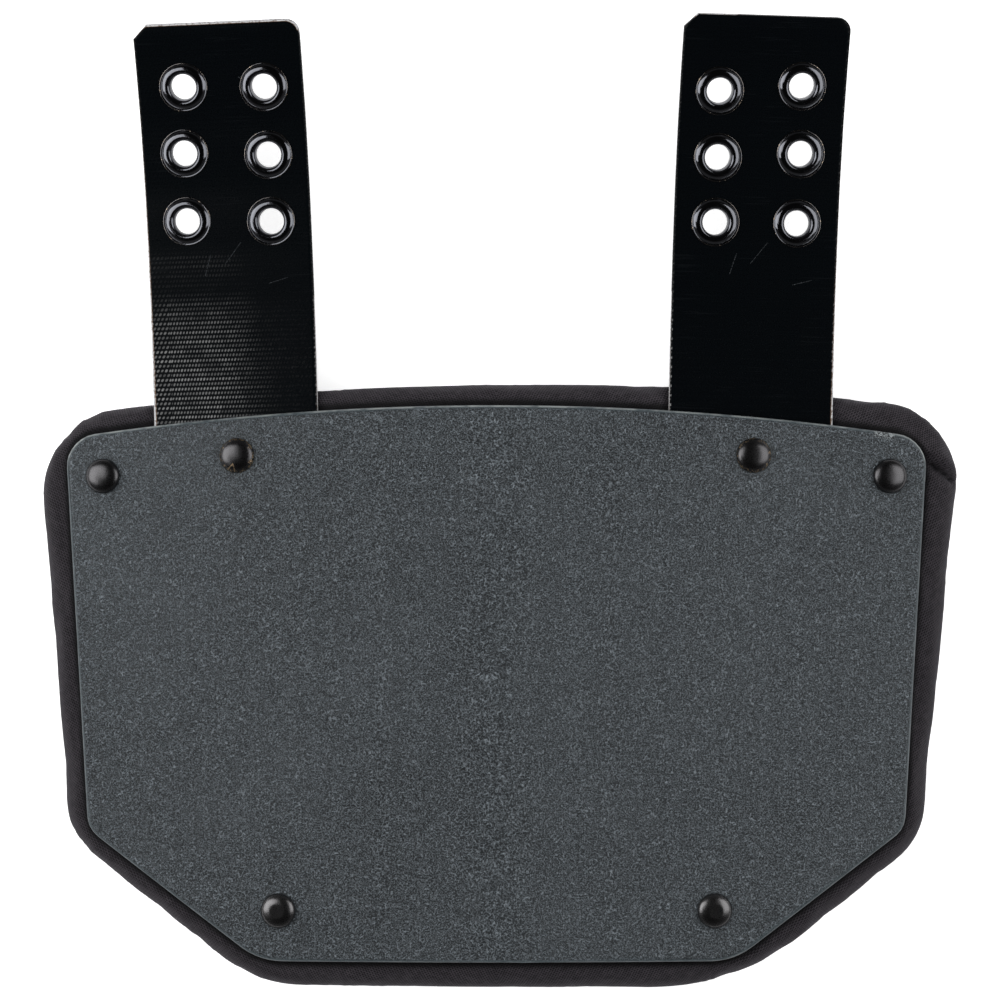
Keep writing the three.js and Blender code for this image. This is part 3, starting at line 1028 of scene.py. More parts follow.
@dataclass(frozen=True)
class EnamelFinish(Finish):
    """Glossy black plating on pressed eyelets, rubbed through to brass in a few places at the rim, with a
    faint pale ring along the rim's edge as a painted reflection of the floor.
    """

    name: str = "eyelet_enamel"
    black: Colour = (0.115, 0.118, 0.13, 1.0)
    bare: Colour = paint(196, 178, 156)
    amount: float = 0.04

    def dress(self, dye: Dye) -> None:
        """Feed the shader.

        Args:
            dye: The empty material.
        """
        place = dye.object_place()
        edge = dye.attribute(EDGE)
        worn = dye.group(dye.effects.wear, Place=place, Edge=edge, Amount=self.amount, Size=1.6)["Mask"]
        specks = worn * dye.step(dye.noise(place, 1.9, 1.0), 0.5, 0.66)
        smear = dye.noise(place, 0.5)
        # Painted reflection: a faint pale brass ring along the rolled rim's outer edge stands for the
        # floor's reflection there; the specks above are wear.
        rubbed = dye.step(edge, 0.82, 0.97) * dye.step(smear, 0.3, 0.6)
        bare = dye.math("MAXIMUM", specks, rubbed * 0.22)
        orange_peel = dye.bump(dye.noise(place, 0.9), 0.1 * MM, 0.22)
        dye.set(
            Base_Color=dye.mix(bare, self.black, self.bare),
            Metallic=1.0,
            Roughness=dye.blend(specks, dye.blend(smear, 0.08, 0.16), 0.35),
            Normal=dye.bump(1.0 - specks, 0.04 * MM, 0.6, orange_peel),
        )


@dataclass(frozen=True)
class RivetFinish(Finish):
    """Blackened rivets with a satin skin, chipped to brass by amount round their rims."""

    amount: float = -1.0
    black: Colour = (0.095, 0.094, 0.098, 1.0)
    dull: Colour = (0.066, 0.064, 0.066, 1.0)
    brass: Colour = paint(214, 186, 150)
    nick: tuple[tuple[float, ...], ...] = ((-83.1, 12.9, -85.0, 10.7), (-83.1, 12.9, -82.4, 10.6))
    nick_width: float = 0.2

    def dress(self, dye: Dye) -> None:
        """Feed the shader.

        Args:
            dye: The empty material.
        """
        place = dye.object_place()
        edge = dye.attribute(EDGE)
        worn = dye.group(dye.effects.wear, Place=place, Edge=edge, Amount=self.amount, Size=1.3)["Mask"]
        spots = worn * dye.step(dye.noise(place, 2.2, 1.0), 0.46, 0.6)
        nicks = dye.scratches(place, self.nick, self.nick_width)
        chips = dye.math("MAXIMUM", spots, nicks * 0.8)
        stipple = dye.noise(place, 3.5)
        skin = dye.bump(stipple, 0.03 * MM, 0.5)
        dye.set(
            Base_Color=dye.mix(chips, dye.mix(stipple, self.dull, self.black), self.brass),
            Metallic=1.0,
            Roughness=dye.blend(chips, dye.blend(stipple, 0.24, 0.32), 0.35),
            Normal=dye.bump(1.0 - chips, 0.05 * MM, 0.7, skin),
        )


@dataclass(frozen=True)
class FloorFinish(Finish):
    """Plain pale light table with a barely mottled matt face."""

    name: str = "floor_paint"
    pale: Colour = (0.86, 0.86, 0.86, 1.0)
    paler: Colour = (0.88, 0.88, 0.885, 1.0)
    glow: Colour = (1.0, 1.0, 1.0, 1.0)

    def dress(self, dye: Dye) -> None:
        """Feed the shader.

        Args:
            dye: The empty material.
        """
        mottle = dye.noise(dye.object_place(), 0.01, 3.0)
        dye.set(
            Base_Color=dye.mix(mottle, self.pale, self.paler),
            Roughness=0.9,
            Specular_IOR_Level=0.1,
            Emission_Color=self.glow,
            Emission_Strength=dye.blend(dye.wire("LightPath", "Is Camera Ray"), 0.15, 0.6),
        )


@dataclass(frozen=True)
class Corner:
    """Corner of the plate's outline, and how far the pad's corner lies outside it.

    x is a share of half the plate's width, y of its height. round multiplies the plate's corner radius, and
    pad_round the pad's. pad_out and pad_up are pad borders.
    """

    x: float
    y: float
    round: float
    pad_out: float
    pad_up: float
    pad_round: float


CORNERS = (
    Corner(-1, 0.942, 1, -1.42, 0.8, 0.95),
    Corner(-0.946, 0.234, 1, -1.1, -0.31, 0.9),
    Corner(-0.546, 0, 2.5, -0.25, -1.08, 1.8),
    Corner(0.546, 0, 2.5, 0.2, -1.19, 3.2),
    Corner(0.946, 0.234, 1, 1, -0.48, 0.9),
    Corner(1, 0.942, 1, 1.8, 1.12, 0.93),
)


@dataclass(frozen=True)
class Drawing:
    """Flat drawing of the plate and the pad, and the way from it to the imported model's frame."""

    width: float = 271 * MM
    height: float = 173 * MM
    crown: float = 10 * MM
    corner_radius: float = 8.7 * MM
    bend_radius: float = 800 * MM
    pad_border: float = 8 * MM
    pad_crown: float = 9.2 * MM
    pad_corner_radius: float = 24.5 * MM
    samples: int = 720

    @property
    def origin(self) -> Vector:
        """Crest of the front face over the middle of the plate's low edge."""
        low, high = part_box("back_plate")
        return Vector(((low.x + high.x) / 2, low.y, high.z))

    def plate_loop(self, count: int) -> np.ndarray:
        """Outline of the plate as evenly spaced points.

        Args:
            count: Number of points.

        Returns:
            The points as rows of x and y.
        """
        places = [np.array((c.x * self.width / 2, c.y * self.height)) for c in CORNERS]
        radii = [c.round * self.corner_radius for c in CORNERS]
        return spaced(self._bowed(places, radii, self.crown), count)

    def pad_loop(self, count: int) -> np.ndarray:
        """Outline of the pad as evenly spaced points.

        Args:
            count: Number of points.

        Returns:
            The points as rows of x and y.
        """
        places = [
            np.array((
                c.x * self.width / 2 + c.pad_out * self.pad_border,
                c.y * self.height + c.pad_up * self.pad_border,
            ))
            for c in CORNERS
        ]
        radii = [c.pad_round * self.pad_corner_radius for c in CORNERS]
        return spaced(self._bowed(places, radii, self.pad_crown), count)

    def _bowed(self, places: list[np.ndarray], radii: list[float], crown: float) -> np.ndarray:
        """Loop through rounded corners, with its top edge bowed up.

        Args:
            places: The corners, anticlockwise.
            radii: Their radii.
            crown: Height of the bow.

        Returns:
            The loop as rows of x and y.
        """
        loop = []
        for i, corner in enumerate(places):
            ways = places[i - 1] - corner, places[(i + 1) % len(places)] - corner
            reach = 0.48 * min(map(np.linalg.norm, ways))
            to_before, to_after = (way / np.linalg.norm(way) for way in ways)
            half = math.acos(float(to_before @ to_after)) / 2
            tangent = min(radii[i] / math.tan(half), reach)
            inward = (to_before + to_after) / np.linalg.norm(to_before + to_after)
            radius = tangent * math.tan(half)
            centre = corner + inward * radius / math.sin(half)
            start = corner + to_before * tangent - centre
            first = math.atan2(start[1], start[0])
            turn = math.pi - 2 * half
            for share in np.linspace(0, 1, CORNER_STEPS):
                angle = first + turn * share
                loop.append(centre + radius * np.array((math.cos(angle), math.sin(angle))))
        points = spaced(np.array(loop), self.samples)
        left, right = points[:, 0].min(), points[:, 0].max()
        low, high = places[1][1], max(places[0][1], places[-1][1])
        across = (2 * points[:, 0] - left - right) / (right - left)
        rise = np.clip((points[:, 1] - low) / (high - low), 0, 1)
        points[:, 1] += crown * (1 - across ** 2) * rise
        return points

    def wrapped(self, points: np.ndarray) -> np.ndarray:
        """Points of the flat drawing on the bent plate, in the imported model's frame.

        Args:
            points: Rows of x, y and the height above the plate's face.

        Returns:
            Rows of x, y and z.
        """
        x, y, height = points.T
        lean = x / self.bend_radius
        upright = np.sqrt(1 - lean ** 2)
        face = self.bend_radius * (upright - 1)
        return np.column_stack((x + height * lean, y, face + height * upright)) + np.array(self.origin)

    def flat_spot(self, place: Matrix) -> tuple[float, float]:
        """Place in the drawing of a frame that stands on the plate's face."""
        spot = place.translation - self.origin
        return spot.x, spot.y


class NodeFrames:
    """Frames of turned CAD nodes, found from their vertices."""

    @staticmethod
    def _cloud(node: str) -> tuple[np.ndarray, np.ndarray, np.ndarray]:
        """Vertices of a CAD node.

        Args:
            node: Name of the node.

        Returns:
            The unique vertices, their middle and their main directions.
        """
        points = np.unique(np.round(Bench.points(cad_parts[node]), 6), axis=0)
        middle = points.mean(0)
        directions = np.linalg.svd(points - middle, full_matrices=False)[2]
        return points, middle, directions

    @staticmethod
    def _standing(middle: np.ndarray, axis: np.ndarray) -> Matrix:
        """Frame with its Z along an axis that points out of the plate's face.

        Args:
            middle: The frame's place.
            axis: The axis, either way round.

        Returns:
            The frame.
        """
        upright = Vector(axis) if axis[2] > 0 else -Vector(axis)
        turn = Vector((0, 0, 1)).rotation_difference(upright).to_matrix().to_4x4()
        return Matrix.Translation(Vector(middle)) @ turn

    @staticmethod
    def eyelet(node: str) -> Matrix:
        """Frame of an eyelet, in the middle of its thickness.

        Args:
            node: Name of the eyelet's CAD node.

        Returns:
            The frame.
        """
        points, middle, directions = NodeFrames._cloud(node)
        axis = directions[2]
        heights = (points - middle) @ axis
        return NodeFrames._standing(middle + axis * (heights.max() + heights.min()) / 2, axis)

    @staticmethod
    def rivet(node: str, crown: float) -> Matrix:
        """Frame of a rivet, on the plate's face.

        Args:
            node: Name of the rivet's CAD node.
            crown: Height of the rivet's crown above the face.

        Returns:
            The frame.
        """
        points, middle, directions = NodeFrames._cloud(node)
        axis = directions[0] if directions[0][2] > 0 else -directions[0]
        top = ((points - middle) @ axis).max()
        return NodeFrames._standing(middle + axis * (top - crown), axis)


@dataclass
class Rivets:
    """Six rivets: a head in front, a shank through the pad and a washer with a peened end behind."""

    head_radius: float = 5.45 * MM
    head_height: float = 2.6 * MM
    seat: float = 0.3 * MM
    shank_radius: float = 2.2 * MM
    washer_radius: float = 6 * MM
    washer_front: float = -13.3 * MM
    washer_back: float = -14.5 * MM
    dimple_radius: float = 2.2 * MM
    flat_drop: float = 0.06
    sides: int = 64
    crowns: Mapping[str, Crown] = field(default_factory=lambda: {
        f"{spot}_{side.name.lower()}": crown
        for spot, crown in (("strap", Crown.DOMED), ("side", Crown.DOMED), ("low", Crown.DIMPLED))
        for side in Side
    })
    peen: tuple[tuple[float, float], ...] = ((0, -0.8), (0.9, -0.78), (1.7, -0.62), (2.35, -0.3), (2.6, 0))
    washer: tuple[tuple[float, float], ...] = (
        (0.55, 0), (0.9, 0), (0.96, 0.1), (1, 0.35), (1, 0.8), (0.97, 1))
    foot: tuple[tuple[float, float], ...] = ((0.955, 0.4), (0.99, 0.7), (1, 1.6))

    def place(self, name: str) -> Matrix:
        """Frame of a rivet on the plate's face."""
        drop = self.flat_drop if self.crowns[name] is Crown.DIMPLED else 0.0
        return NodeFrames.rivet(f"rivet_{name}", self.seat + (1 - drop) * self.head_height)

    def places(self) -> dict[str, Matrix]:
        """Frames of all the rivets by name."""
        return {name: self.place(name) for name in self.crowns}

    def _section(self, crown: Crown) -> np.ndarray:
        """Half section of a rivet as rows of radius and height, anticlockwise.

        Args:
            crown: Top of the head.

        Returns:
            The section.
        """
        back, front = self.washer_back, self.washer_front
        head = self.head_radius
        points = [(radius * MM, back + height * MM) for radius, height in self.peen]
        points += [
            (self.washer_radius * share, back + (front - back) * rise) for share, rise in self.washer]
        points += [(self.shank_radius, front), (self.shank_radius, 0.4 * self.seat)]
        points += [(share * head, rise * self.seat) for share, rise in self.foot]
        for share in np.cos(np.linspace(0.12, math.pi / 2, 18)):
            rise = (1 - share ** 2.3) ** 0.45
            radius = head * share
            height = self.seat + self.head_height * rise
            if crown is Crown.DIMPLED:
                inside = float(ramp(np.array(self.dimple_radius - radius), -0.3 * MM, 0.3 * MM))
                level = self.seat + self.head_height * (0.93 + 0.01 * share)
                height = height * (1 - inside) + level * inside
            points.append((radius, height))
        return np.array(points)

    def build(self, effects: Effects) -> None:
        """Make the rivets.

        Args:
            effects: Shared node groups.
        """
        finishes = {
            "strap": RivetFinish("rivet_chipped", 0.16),
            "side": RivetFinish("rivet_whole"),
            # The low rivets take a lighter copy of the same blackened finish, which makes their highlights
            # brighter: painted light.
            "low": RivetFinish("rivet_rubbed", black=(0.15, 0.147, 0.15, 1.0), dull=(0.1, 0.098, 0.1, 1.0)),
        }
        materials = {spot: finish.material(effects) for spot, finish in finishes.items()}
        models = {}
        for crown in Crown:
            model = Bench.turn(f"rivet_{crown.value}", self._section(crown), self.sides)
            points = Bench.points(model)
            radius = np.hypot(points[:, 0], points[:, 1]) / self.head_radius
            front = ramp(points[:, 2], -1 * MM, 0)
            Bench.note(model, EDGE, ramp(radius, 0.55, 1.0) * front)
            Bench.smooth(model, 38)
            models[crown] = model
        for name, crown in self.crowns.items():
            piece = Bench.copy(models[crown], f"rivet_piece_{name}", self.place(name))
            Bench.finish(piece, materials[name.split("_")[0]], Slot.RIVET, f"rivet_{name}")
        for model in models.values():
            bpy.data.objects.remove(model)


@dataclass
class Plate:
    """The stiff sheet: its face rolls over at the rim, and the rivets pass through it."""

    drawing: Drawing
    thickness: float = 3 * MM
    edge_round: float = 1.1 * MM
    back_round: float = 0.55 * MM
    hole_radius: float = 2.6 * MM
    stations: int = 360

    def build(self, effects: Effects, holes: Sequence[tuple[float, float]]) -> None:
        """Make the plate.

        Args:
            effects: Shared node groups.
            holes: Places of the rivets in the flat drawing.
        """
        loop = self.drawing.plate_loop(self.stations)
        plate = Bench.slab("plate_sheet", loop, 0.0, -self.thickness, gridded=True)
        Bench.round_rim(plate, 0.0, self.edge_round, 5)
        Bench.round_rim(plate, -self.thickness, self.back_round, 2)
        Bench.drill(plate, holes, self.hole_radius, 2 * self.thickness)
        points = Bench.points(plate)
        inside = edge_distance(points, loop)[0]
        Bench.note(plate, EDGE, np.clip(1 - inside / self.edge_round, 0, 1))
        Bench.move(plate, self.drawing.wrapped(points))
        Bench.smooth(plate, 50)
        Bench.finish(plate, PlateFinish().material(effects), Slot.PLATE, "back_plate")


@dataclass
class StrapPath:
    """Side view of a strap: flat stretches of its middle line, eased into each other."""

    first_row: float
    tip_margin: float
    tail: float = 14 * MM
    bend_start: float = 15 * MM
    row_pitch: float = 20.9 * MM
    zone: float = 17.6 * MM
    tip_slope: float = 21.0
    ease: float = 6 * MM
    step: float = 0.25 * MM
    lead_slopes: tuple[float, ...] = (0.06, 0.14, 0.24)
    row_slopes: tuple[float, ...] = (0.34, 0.54, 0.76)
    tip_slopes: tuple[float, ...] = (0.9, 1)

    def stretches(self) -> list[tuple[float, float]]:
        """Stretches of the side view.

        Returns:
            Their lengths, and their slopes as shares of the tip's slope.
        """
        lead = (self.first_row - self.zone / 2 - self.bend_start) / len(self.lead_slopes)
        tip = (self.tip_margin - self.zone / 2) / len(self.tip_slopes)
        rows = [(self.tail + self.bend_start, 0.0), *((lead, slope) for slope in self.lead_slopes)]
        for slope, after in zip(self.row_slopes, (*self.row_slopes[1:], None)):
            rows.append((self.zone, slope))
            if after is not None:
                rows.append((self.row_pitch - self.zone, (slope + after) / 2))
        return [*rows, *((tip, slope) for slope in self.tip_slopes)]

    def line(self) -> tuple[np.ndarray, np.ndarray, np.ndarray, np.ndarray]:
        """The middle line.

        Returns:
            Length along it, its place forward and up, and its slope.
        """
        lengths, shares = np.array(self.stretches()).T
        knots = np.concatenate(([0], np.cumsum(lengths))) - self.tail
        run = np.arange(knots[0], knots[-1] + self.step, self.step)
        stretch = np.clip(np.searchsorted(knots, run, side="right") - 1, 0, len(shares) - 1)
        sharp = np.radians(shares[stretch] * self.tip_slope)
        window = round(self.ease / self.step) | 1
        padded = np.pad(sharp, window // 2, mode="edge")
        slope = np.convolve(padded, np.ones(window) / window, mode="valid")
        forward = np.concatenate(([0], np.cumsum(np.cos(slope[:-1]) * self.step))) - self.tail
        up = np.concatenate(([0], np.cumsum(np.sin(slope[:-1]) * self.step)))
        return run, forward, up, slope

    @property
    def end(self) -> float:
        """Length from the rivet to the tip."""
        return sum(length for length, _ in self.stretches()) - self.tail


@dataclass
class Strap:
    """One strap: coated webbing from its tail under the plate to its upturned tip."""

    side: Side
    lean: float
    middle: float
    first_row: float
    tip_margin: float
    place: Matrix
    bend_radius: float = 800 * MM
    width: float = 51.8 * MM
    thickness: float = 2.5 * MM
    tip_corner: float = 4.2 * MM
    tip_steps: int = 9
    rim: float = 0.62 * MM
    bare_left: float = 0.5 * MM
    bare_right: float = 0.5 * MM
    bare_tip: float = 0.5 * MM
    bare_ends: tuple[float, float] = (0.1 * MM, 0.1 * MM)
    least_bare: float = 0.02 * MM
    coated_from: float = 2.0
    eyelet_hole: float = 4.7 * MM
    rivet_hole: float = 2.6 * MM
    plate_thickness: float = 3 * MM
    seat: float = 0.3 * MM

    @property
    def name(self) -> str:
        """Name of the strap's side."""
        return self.side.name.lower()

    @property
    def path(self) -> StrapPath:
        """Side view of the strap."""
        return StrapPath(self.first_row, self.tip_margin)

    @property
    def level(self) -> float:
        """Height of the strap's middle under the plate, above the plate's face."""
        sagitta = (self.width / 2) ** 2 / (2 * self.bend_radius)
        return -(self.plate_thickness + self.seat + sagitta + self.thickness / 2)

    @property
    def home(self) -> Matrix:
        """Frame of the strap: on the plate's face at its rivet, turned by its lean."""
        return self.place @ Matrix.Rotation(math.radians(self.lean), 4, "Z")

    def _outline(self) -> np.ndarray:
        """Outline of the flat strap: its tip is cut off on the left and rounded on the right.

        Returns:
            The outline's corners as rows of x and y, anticlockwise.
        """
        edge, end, corner = self.width / 2, self.path.end, self.tip_corner
        turn = np.linspace(0, math.pi / 2, self.tip_steps)
        arc = np.column_stack((
            edge - corner + corner * np.cos(turn), end - corner + corner * np.sin(turn)))
        tail = -self.path.tail
        return np.vstack(((-edge, tail), (edge, tail), arc, (corner - edge, end), (-edge, end - corner)))

    def _eyelet_spots(self) -> list[tuple[float, float]]:
        """Places of the eyelets on the flat strap.

        Returns:
            Their middles, from the strap's middle line and along it.
        """
        run, forward, _, _ = self.path.line()
        home = self.home.inverted()
        spots = []
        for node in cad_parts:
            if node.startswith(f"eyelet_{self.name}_"):
                spot = home @ NodeFrames.eyelet(node).translation
                spots.append((spot.x - self.middle * self.width, float(np.interp(spot.y, forward, run))))
        return spots

    def _band(self) -> Piece:
        """Make the flat band: a block with a shaped tip and softened rims, cut into short stretches.

        Returns:
            The band.
        """
        end, tail = self.path.end, self.path.tail
        Bench.clear()
        bpy.ops.mesh.primitive_cube_add(
            size=1, location=(0, (end - tail) / 2, 0), scale=(self.width, end + tail, self.thickness))
        band = Bench.keep(f"webbing_{self.name}")
        edge = self.width / 2
        for x, segments in ((-edge, 1), (edge, 7)):
            corner = Bench.edges(band, lambda place: math.hypot(place.x - x, place.y - end) < 0.1 * MM)
            Bench.bevel(band, corner, self.tip_corner, segments)
        for face in (1, -1):
            Bench.round_rim(band, face * self.thickness / 2, self.rim, 3)
        cuts = [(0, y) for y in np.arange(-tail + 2 * MM, end - self.tip_corner, 1.6 * MM)]
        cuts += [(x, 0) for x in np.linspace(-edge + 1.2 * MM, edge - 1.2 * MM, 15)]
        with Bench.editing(band, Pick.FACE):
            for x, y in cuts:
                bpy.ops.mesh.select_all(action="SELECT")
                bpy.ops.mesh.bisect(plane_co=(x, y, 0), plane_no=(float(x != 0), float(x == 0), 0))
        return band

    def _bareness(self, points: np.ndarray) -> np.ndarray:
        """Distance from the strap's edge, as a share of the width of bare core that shows there.

        Args:
            points: Rows across, along and out of the strap.

        Returns:
            The shares.
        """
        inside, nearest = edge_distance(points, self._outline())
        along = np.clip(points[:, 1] / self.path.end, 0, 1)
        left = points[:, 0] < 0
        bare = np.where(left, self.bare_left, self.bare_right)
        end = np.where(left, *self.bare_ends)
        tapered = bare + (end - bare) * along ** 0.7
        at_tip = (nearest >= 2) & (nearest <= self.tip_steps + 1)
        tip = np.where(points[:, 0] < self.coated_from * self.width / 2, self.bare_tip, -1.0)
        width = np.where(at_tip, tip, tapered)
        share = np.clip(inside / np.maximum(width, self.least_bare), 0, 3)
        return np.where(width > self.least_bare, share, 3.0)

    def _curled(self, points: np.ndarray) -> np.ndarray:
        """Points of the flat strap on its bent path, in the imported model's frame.

        Args:
            points: Rows across, along and out of the strap.

        Returns:
            Rows of x, y and z.
        """
        run, forward, up, slope = self.path.line()
        across, along, out = points.T
        lean = np.interp(along, run, slope)
        local = np.column_stack((
            across + self.middle * self.width,
            np.interp(along, run, forward) - out * np.sin(lean),
            self.level + np.interp(along, run, up) + out * np.cos(lean),
        ))
        home = np.array(self.home)
        return local @ home[:3, :3].T + home[:3, 3]

    def build(self, material: Material) -> None:
        """Make the strap.

        Args:
            material: Webbing's material.
        """
        band = self._band()
        Bench.drill(band, self._eyelet_spots(), self.eyelet_hole, 2 * self.thickness)
        Bench.drill(band, [(-self.middle * self.width, 0.0)], self.rivet_hole, 2 * self.thickness)
        points = Bench.points(band)
        Bench.note(band, EDGE, self._bareness(points))
        Bench.note(band, THREADS, points / MM)
        Bench.move(band, self._curled(points))
        Bench.smooth(band, 40)
        Bench.finish(band, material, Slot.WEBBING, f"strap_{self.name}")


@dataclass
class Eyelets:
    """Twelve pressed eyelets: a thin rolled rim, a groove, a low round crown and a throat."""

    hole: float = 3.95 * MM
    rim: float = 7.55 * MM
    seat: float = 1.3 * MM
    barrel: float = 4.45 * MM
    sides: int = 72
    crest: float = 5.15
    crown: float = 1.15
    bow: float = 2.5
    rolled: tuple[tuple[float, float], ...] = (
        (7.5, 0), (7.55, 0.1), (7.54, 0.2), (7.47, 0.3), (7.36, 0.36), (7.24, 0.35), (7.13, 0.31),
        (7.02, 0.3),
    )
    throat: tuple[tuple[float, float], ...] = (
        (4.92, 1.13), (4.7, 1.05), (4.5, 0.9), (4.32, 0.7), (4.17, 0.44), (4.06, 0.12),
    )

    def _section(self) -> np.ndarray:
        """Half section of an eyelet as rows of radius and height, anticlockwise.

        Returns:
            The section.
        """
        hump = [
            (radius, self.crown - self.bow + math.sqrt(self.bow ** 2 - (radius - self.crest) ** 2))
            for radius in np.linspace(6.88, self.crest, 11)
        ]
        profile = [*self.rolled, *hump, *self.throat]
        front = [(radius * MM, self.seat + height * MM) for radius, height in profile]
        back = [(radius, -height) for radius, height in reversed(front)]
        throat = [(self.hole, 0.5 * self.seat), (self.hole, -0.5 * self.seat)]
        barrel = [(self.barrel, -self.seat), (self.barrel, self.seat)]
        return np.array([*front, *throat, *back, *barrel])

    def build(self, effects: Effects) -> None:
        """Make the eyelets.

        Args:
            effects: Shared node groups.
        """
        material = EnamelFinish().material(effects)
        model = Bench.turn("eyelet_model", self._section(), self.sides)
        radius = np.hypot(*Bench.points(model)[:, :2].T)
        Bench.note(model, EDGE, ramp(radius, 0.86 * self.rim, self.rim))
        Bench.smooth(model, 42)
        for node in sorted(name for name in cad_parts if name.startswith("eyelet_")):
            piece = Bench.copy(model, node.replace("eyelet_", "eyelet_piece_"), NodeFrames.eyelet(node))
            Bench.finish(piece, material, Slot.ENAMEL, node)
        bpy.data.objects.remove(model)


@dataclass
class Pad:
    """The foam pad in its woven cover, swollen by a cloth simulation and held by plate and rivets."""

    drawing: Drawing
    straps: Sequence[Strap]
    rivet_spots: Sequence[tuple[float, float]]
    front: float = -3.5 * MM
    thickness: float = 12 * MM
    start_inset: float = 1.1 * MM
    roll: float = 5.6 * MM
    voxel: float = 3 * MM
    cloth: Mapping[str, float] = field(default_factory=lambda: {
        "quality": 6,
        "mass": 0.3,
        "tension_stiffness": 18,
        "compression_stiffness": 18,
        "bending_stiffness": 0.6,
        "shrink_min": -0.012,
        "use_pressure": True,
        "uniform_pressure_force": 4.0,
    })
    cap: float = 1.6 * MM
    frames: int = 20
    washer_radius: float = 6.5 * MM
    washer_floor: float = -12.9 * MM
    dimple_reach: float = 11 * MM
    seam_depth: float = 0.7 * MM
    nip_depth: float = 1.6 * MM
    nip_reach: float = 1.8 * MM
    shank_radius: float = 2.6 * MM
    stations: int = 420
    fit_reach: int = 1
    fit_ease: int = 2
    fit_rounds: int = 5
    fold: tuple[tuple[float, float], tuple[float, float]] = ((133.6, 15.0), (143.6, 8.2))
    hollow: tuple[float, float] = (131.2, 24.5)

    @property
    def back(self) -> float:
        """Height of the pad's back, above the plate's face."""
        return self.front - self.thickness

    @property
    def seam(self) -> float:
        """Height of the seam round the pad's edge."""
        return self.front - 0.62 * self.thickness

    def _block(self) -> Piece:
        """Make the start shape: a slab with rounded rims, remeshed evenly.

        Returns:
            The pad.
        """
        loop = self.drawing.pad_loop(self.stations)
        small = loop - self.start_inset * outward(loop)
        pad = Bench.slab("pad_cover", small, self.front, self.back, gridded=False)
        for height in (self.front, self.back):
            Bench.round_rim(pad, height, self.roll, 5)
        Bench.lone(pad)
        pad.data.remesh_voxel_size = self.voxel
        pad.data.remesh_voxel_adaptivity = 0
        bpy.ops.object.voxel_remesh()
        return pad

    def _ceiling(self, points: np.ndarray) -> np.ndarray:
        """Highest place that the plate and the straps leave to each point of the pad.

        Args:
            points: Rows of x, y and height in the flat drawing.

        Returns:
            The heights.
        """
        under_plate = edge_distance(points, self.drawing.plate_loop(self.stations))[0]
        nip = self.nip_depth * np.exp(-(np.minimum(under_plate + 0.4 * MM, 0) / self.nip_reach) ** 2)
        free = self.front - nip + np.maximum(-under_plate, 0) * 1.3
        ceiling = np.where(under_plate > 2 * MM, self.front, free)
        for strap, spot in zip(self.straps, self.rivet_spots):
            lean = math.radians(strap.lean)
            turn = np.array(((math.cos(lean), math.sin(lean)), (-math.sin(lean), math.cos(lean))))
            across, along = ((points[:, :2] - spot) @ turn.T).T
            across_middle = across - strap.middle * strap.width
            below = strap.level - strap.thickness / 2 - strap.seat
            beside = np.maximum(np.abs(across_middle) - strap.width / 2 - 0.5 * MM, 0)
            behind = np.maximum(-strap.path.tail - 0.5 * MM - along, 0)
            slack = np.hypot(beside, behind)
            bend = np.minimum(across ** 2, (0.55 * strap.width) ** 2) / (2 * strap.bend_radius)
            ceiling = np.minimum(ceiling, below + bend + 1.4 * slack)
        return ceiling

    def _floor(self, points: np.ndarray) -> np.ndarray:
        """Lowest place that the washers leave to each point of the pad's back.

        Args:
            points: Rows of x, y and height in the flat drawing.

        Returns:
            The heights.
        """
        floor = np.full(len(points), -1.0)
        for spot in self.rivet_spots:
            away = np.hypot(*(points[:, :2] - spot).T)
            rise = 1 - ramp(away, self.washer_radius, self.washer_radius + self.dimple_reach) ** 0.6
            dip = self.back - 2 * self.cap + (self.washer_floor - self.back + 2 * self.cap) * rise
            floor = np.maximum(floor, np.where(away < self.washer_radius + self.dimple_reach, dip, -1.0))
        return floor

    def _pressed(self, points: np.ndarray) -> np.ndarray:
        """Points kept clear of the plate, the straps and the washers.

        Args:
            points: Rows of x, y and height in the flat drawing.

        Returns:
            The points, with their heights mended.
        """
        middle = (self.front + self.back) / 2
        height = points[:, 2]
        top = np.minimum(height, self._ceiling(points))
        bottom = np.maximum(height, self._floor(points))
        mended = points.copy()
        mended[:, 2] = np.where(height > middle, top, bottom)
        return mended

    def _swell(self, pad: Piece) -> None:
        """Blow the cover up from inside, with each point's way limited.

        Args:
            pad: The pad.
        """
        start = self._pressed(Bench.points(pad))
        Bench.move(pad, start)
        under = edge_distance(start, self.drawing.plate_loop(self.stations))[0] > 1.5 * MM
        held = under & (start[:, 2] > self.front - 3.5 * MM)
        for spot in self.rivet_spots:
            near = np.hypot(*(start[:, :2] - spot).T) < self.washer_radius + 0.5 * MM
            held |= near & (start[:, 2] < (self.front + self.back) / 2)
        group = pad.vertex_groups.new(name="held")
        group.add([int(i) for i in np.nonzero(held)[0]], 1.0, "REPLACE")
        Bench.lone(pad)
        bpy.ops.object.modifier_add(type="CLOTH")
        cloth = pad.modifiers[-1]
        for name, value in self.cloth.items():
            setattr(cloth.settings, name, value)
        cloth.settings.effector_weights.gravity = 0
        cloth.settings.vertex_group_mass = group.name
        cloth.collision_settings.use_collision = False
        scene = bpy.context.scene
        for step in range(1, self.frames + 1):
            scene.frame_set(step)
        bpy.ops.object.modifier_apply(modifier=cloth.name)
        scene.frame_set(1)
        way = Bench.points(pad) - start
        length = np.linalg.norm(way, axis=1)
        limit = self.cap * np.tanh(length / self.cap) / np.maximum(length, 1e-9)
        Bench.move(pad, start + way * limit[:, None])
        pad.vertex_groups.clear()

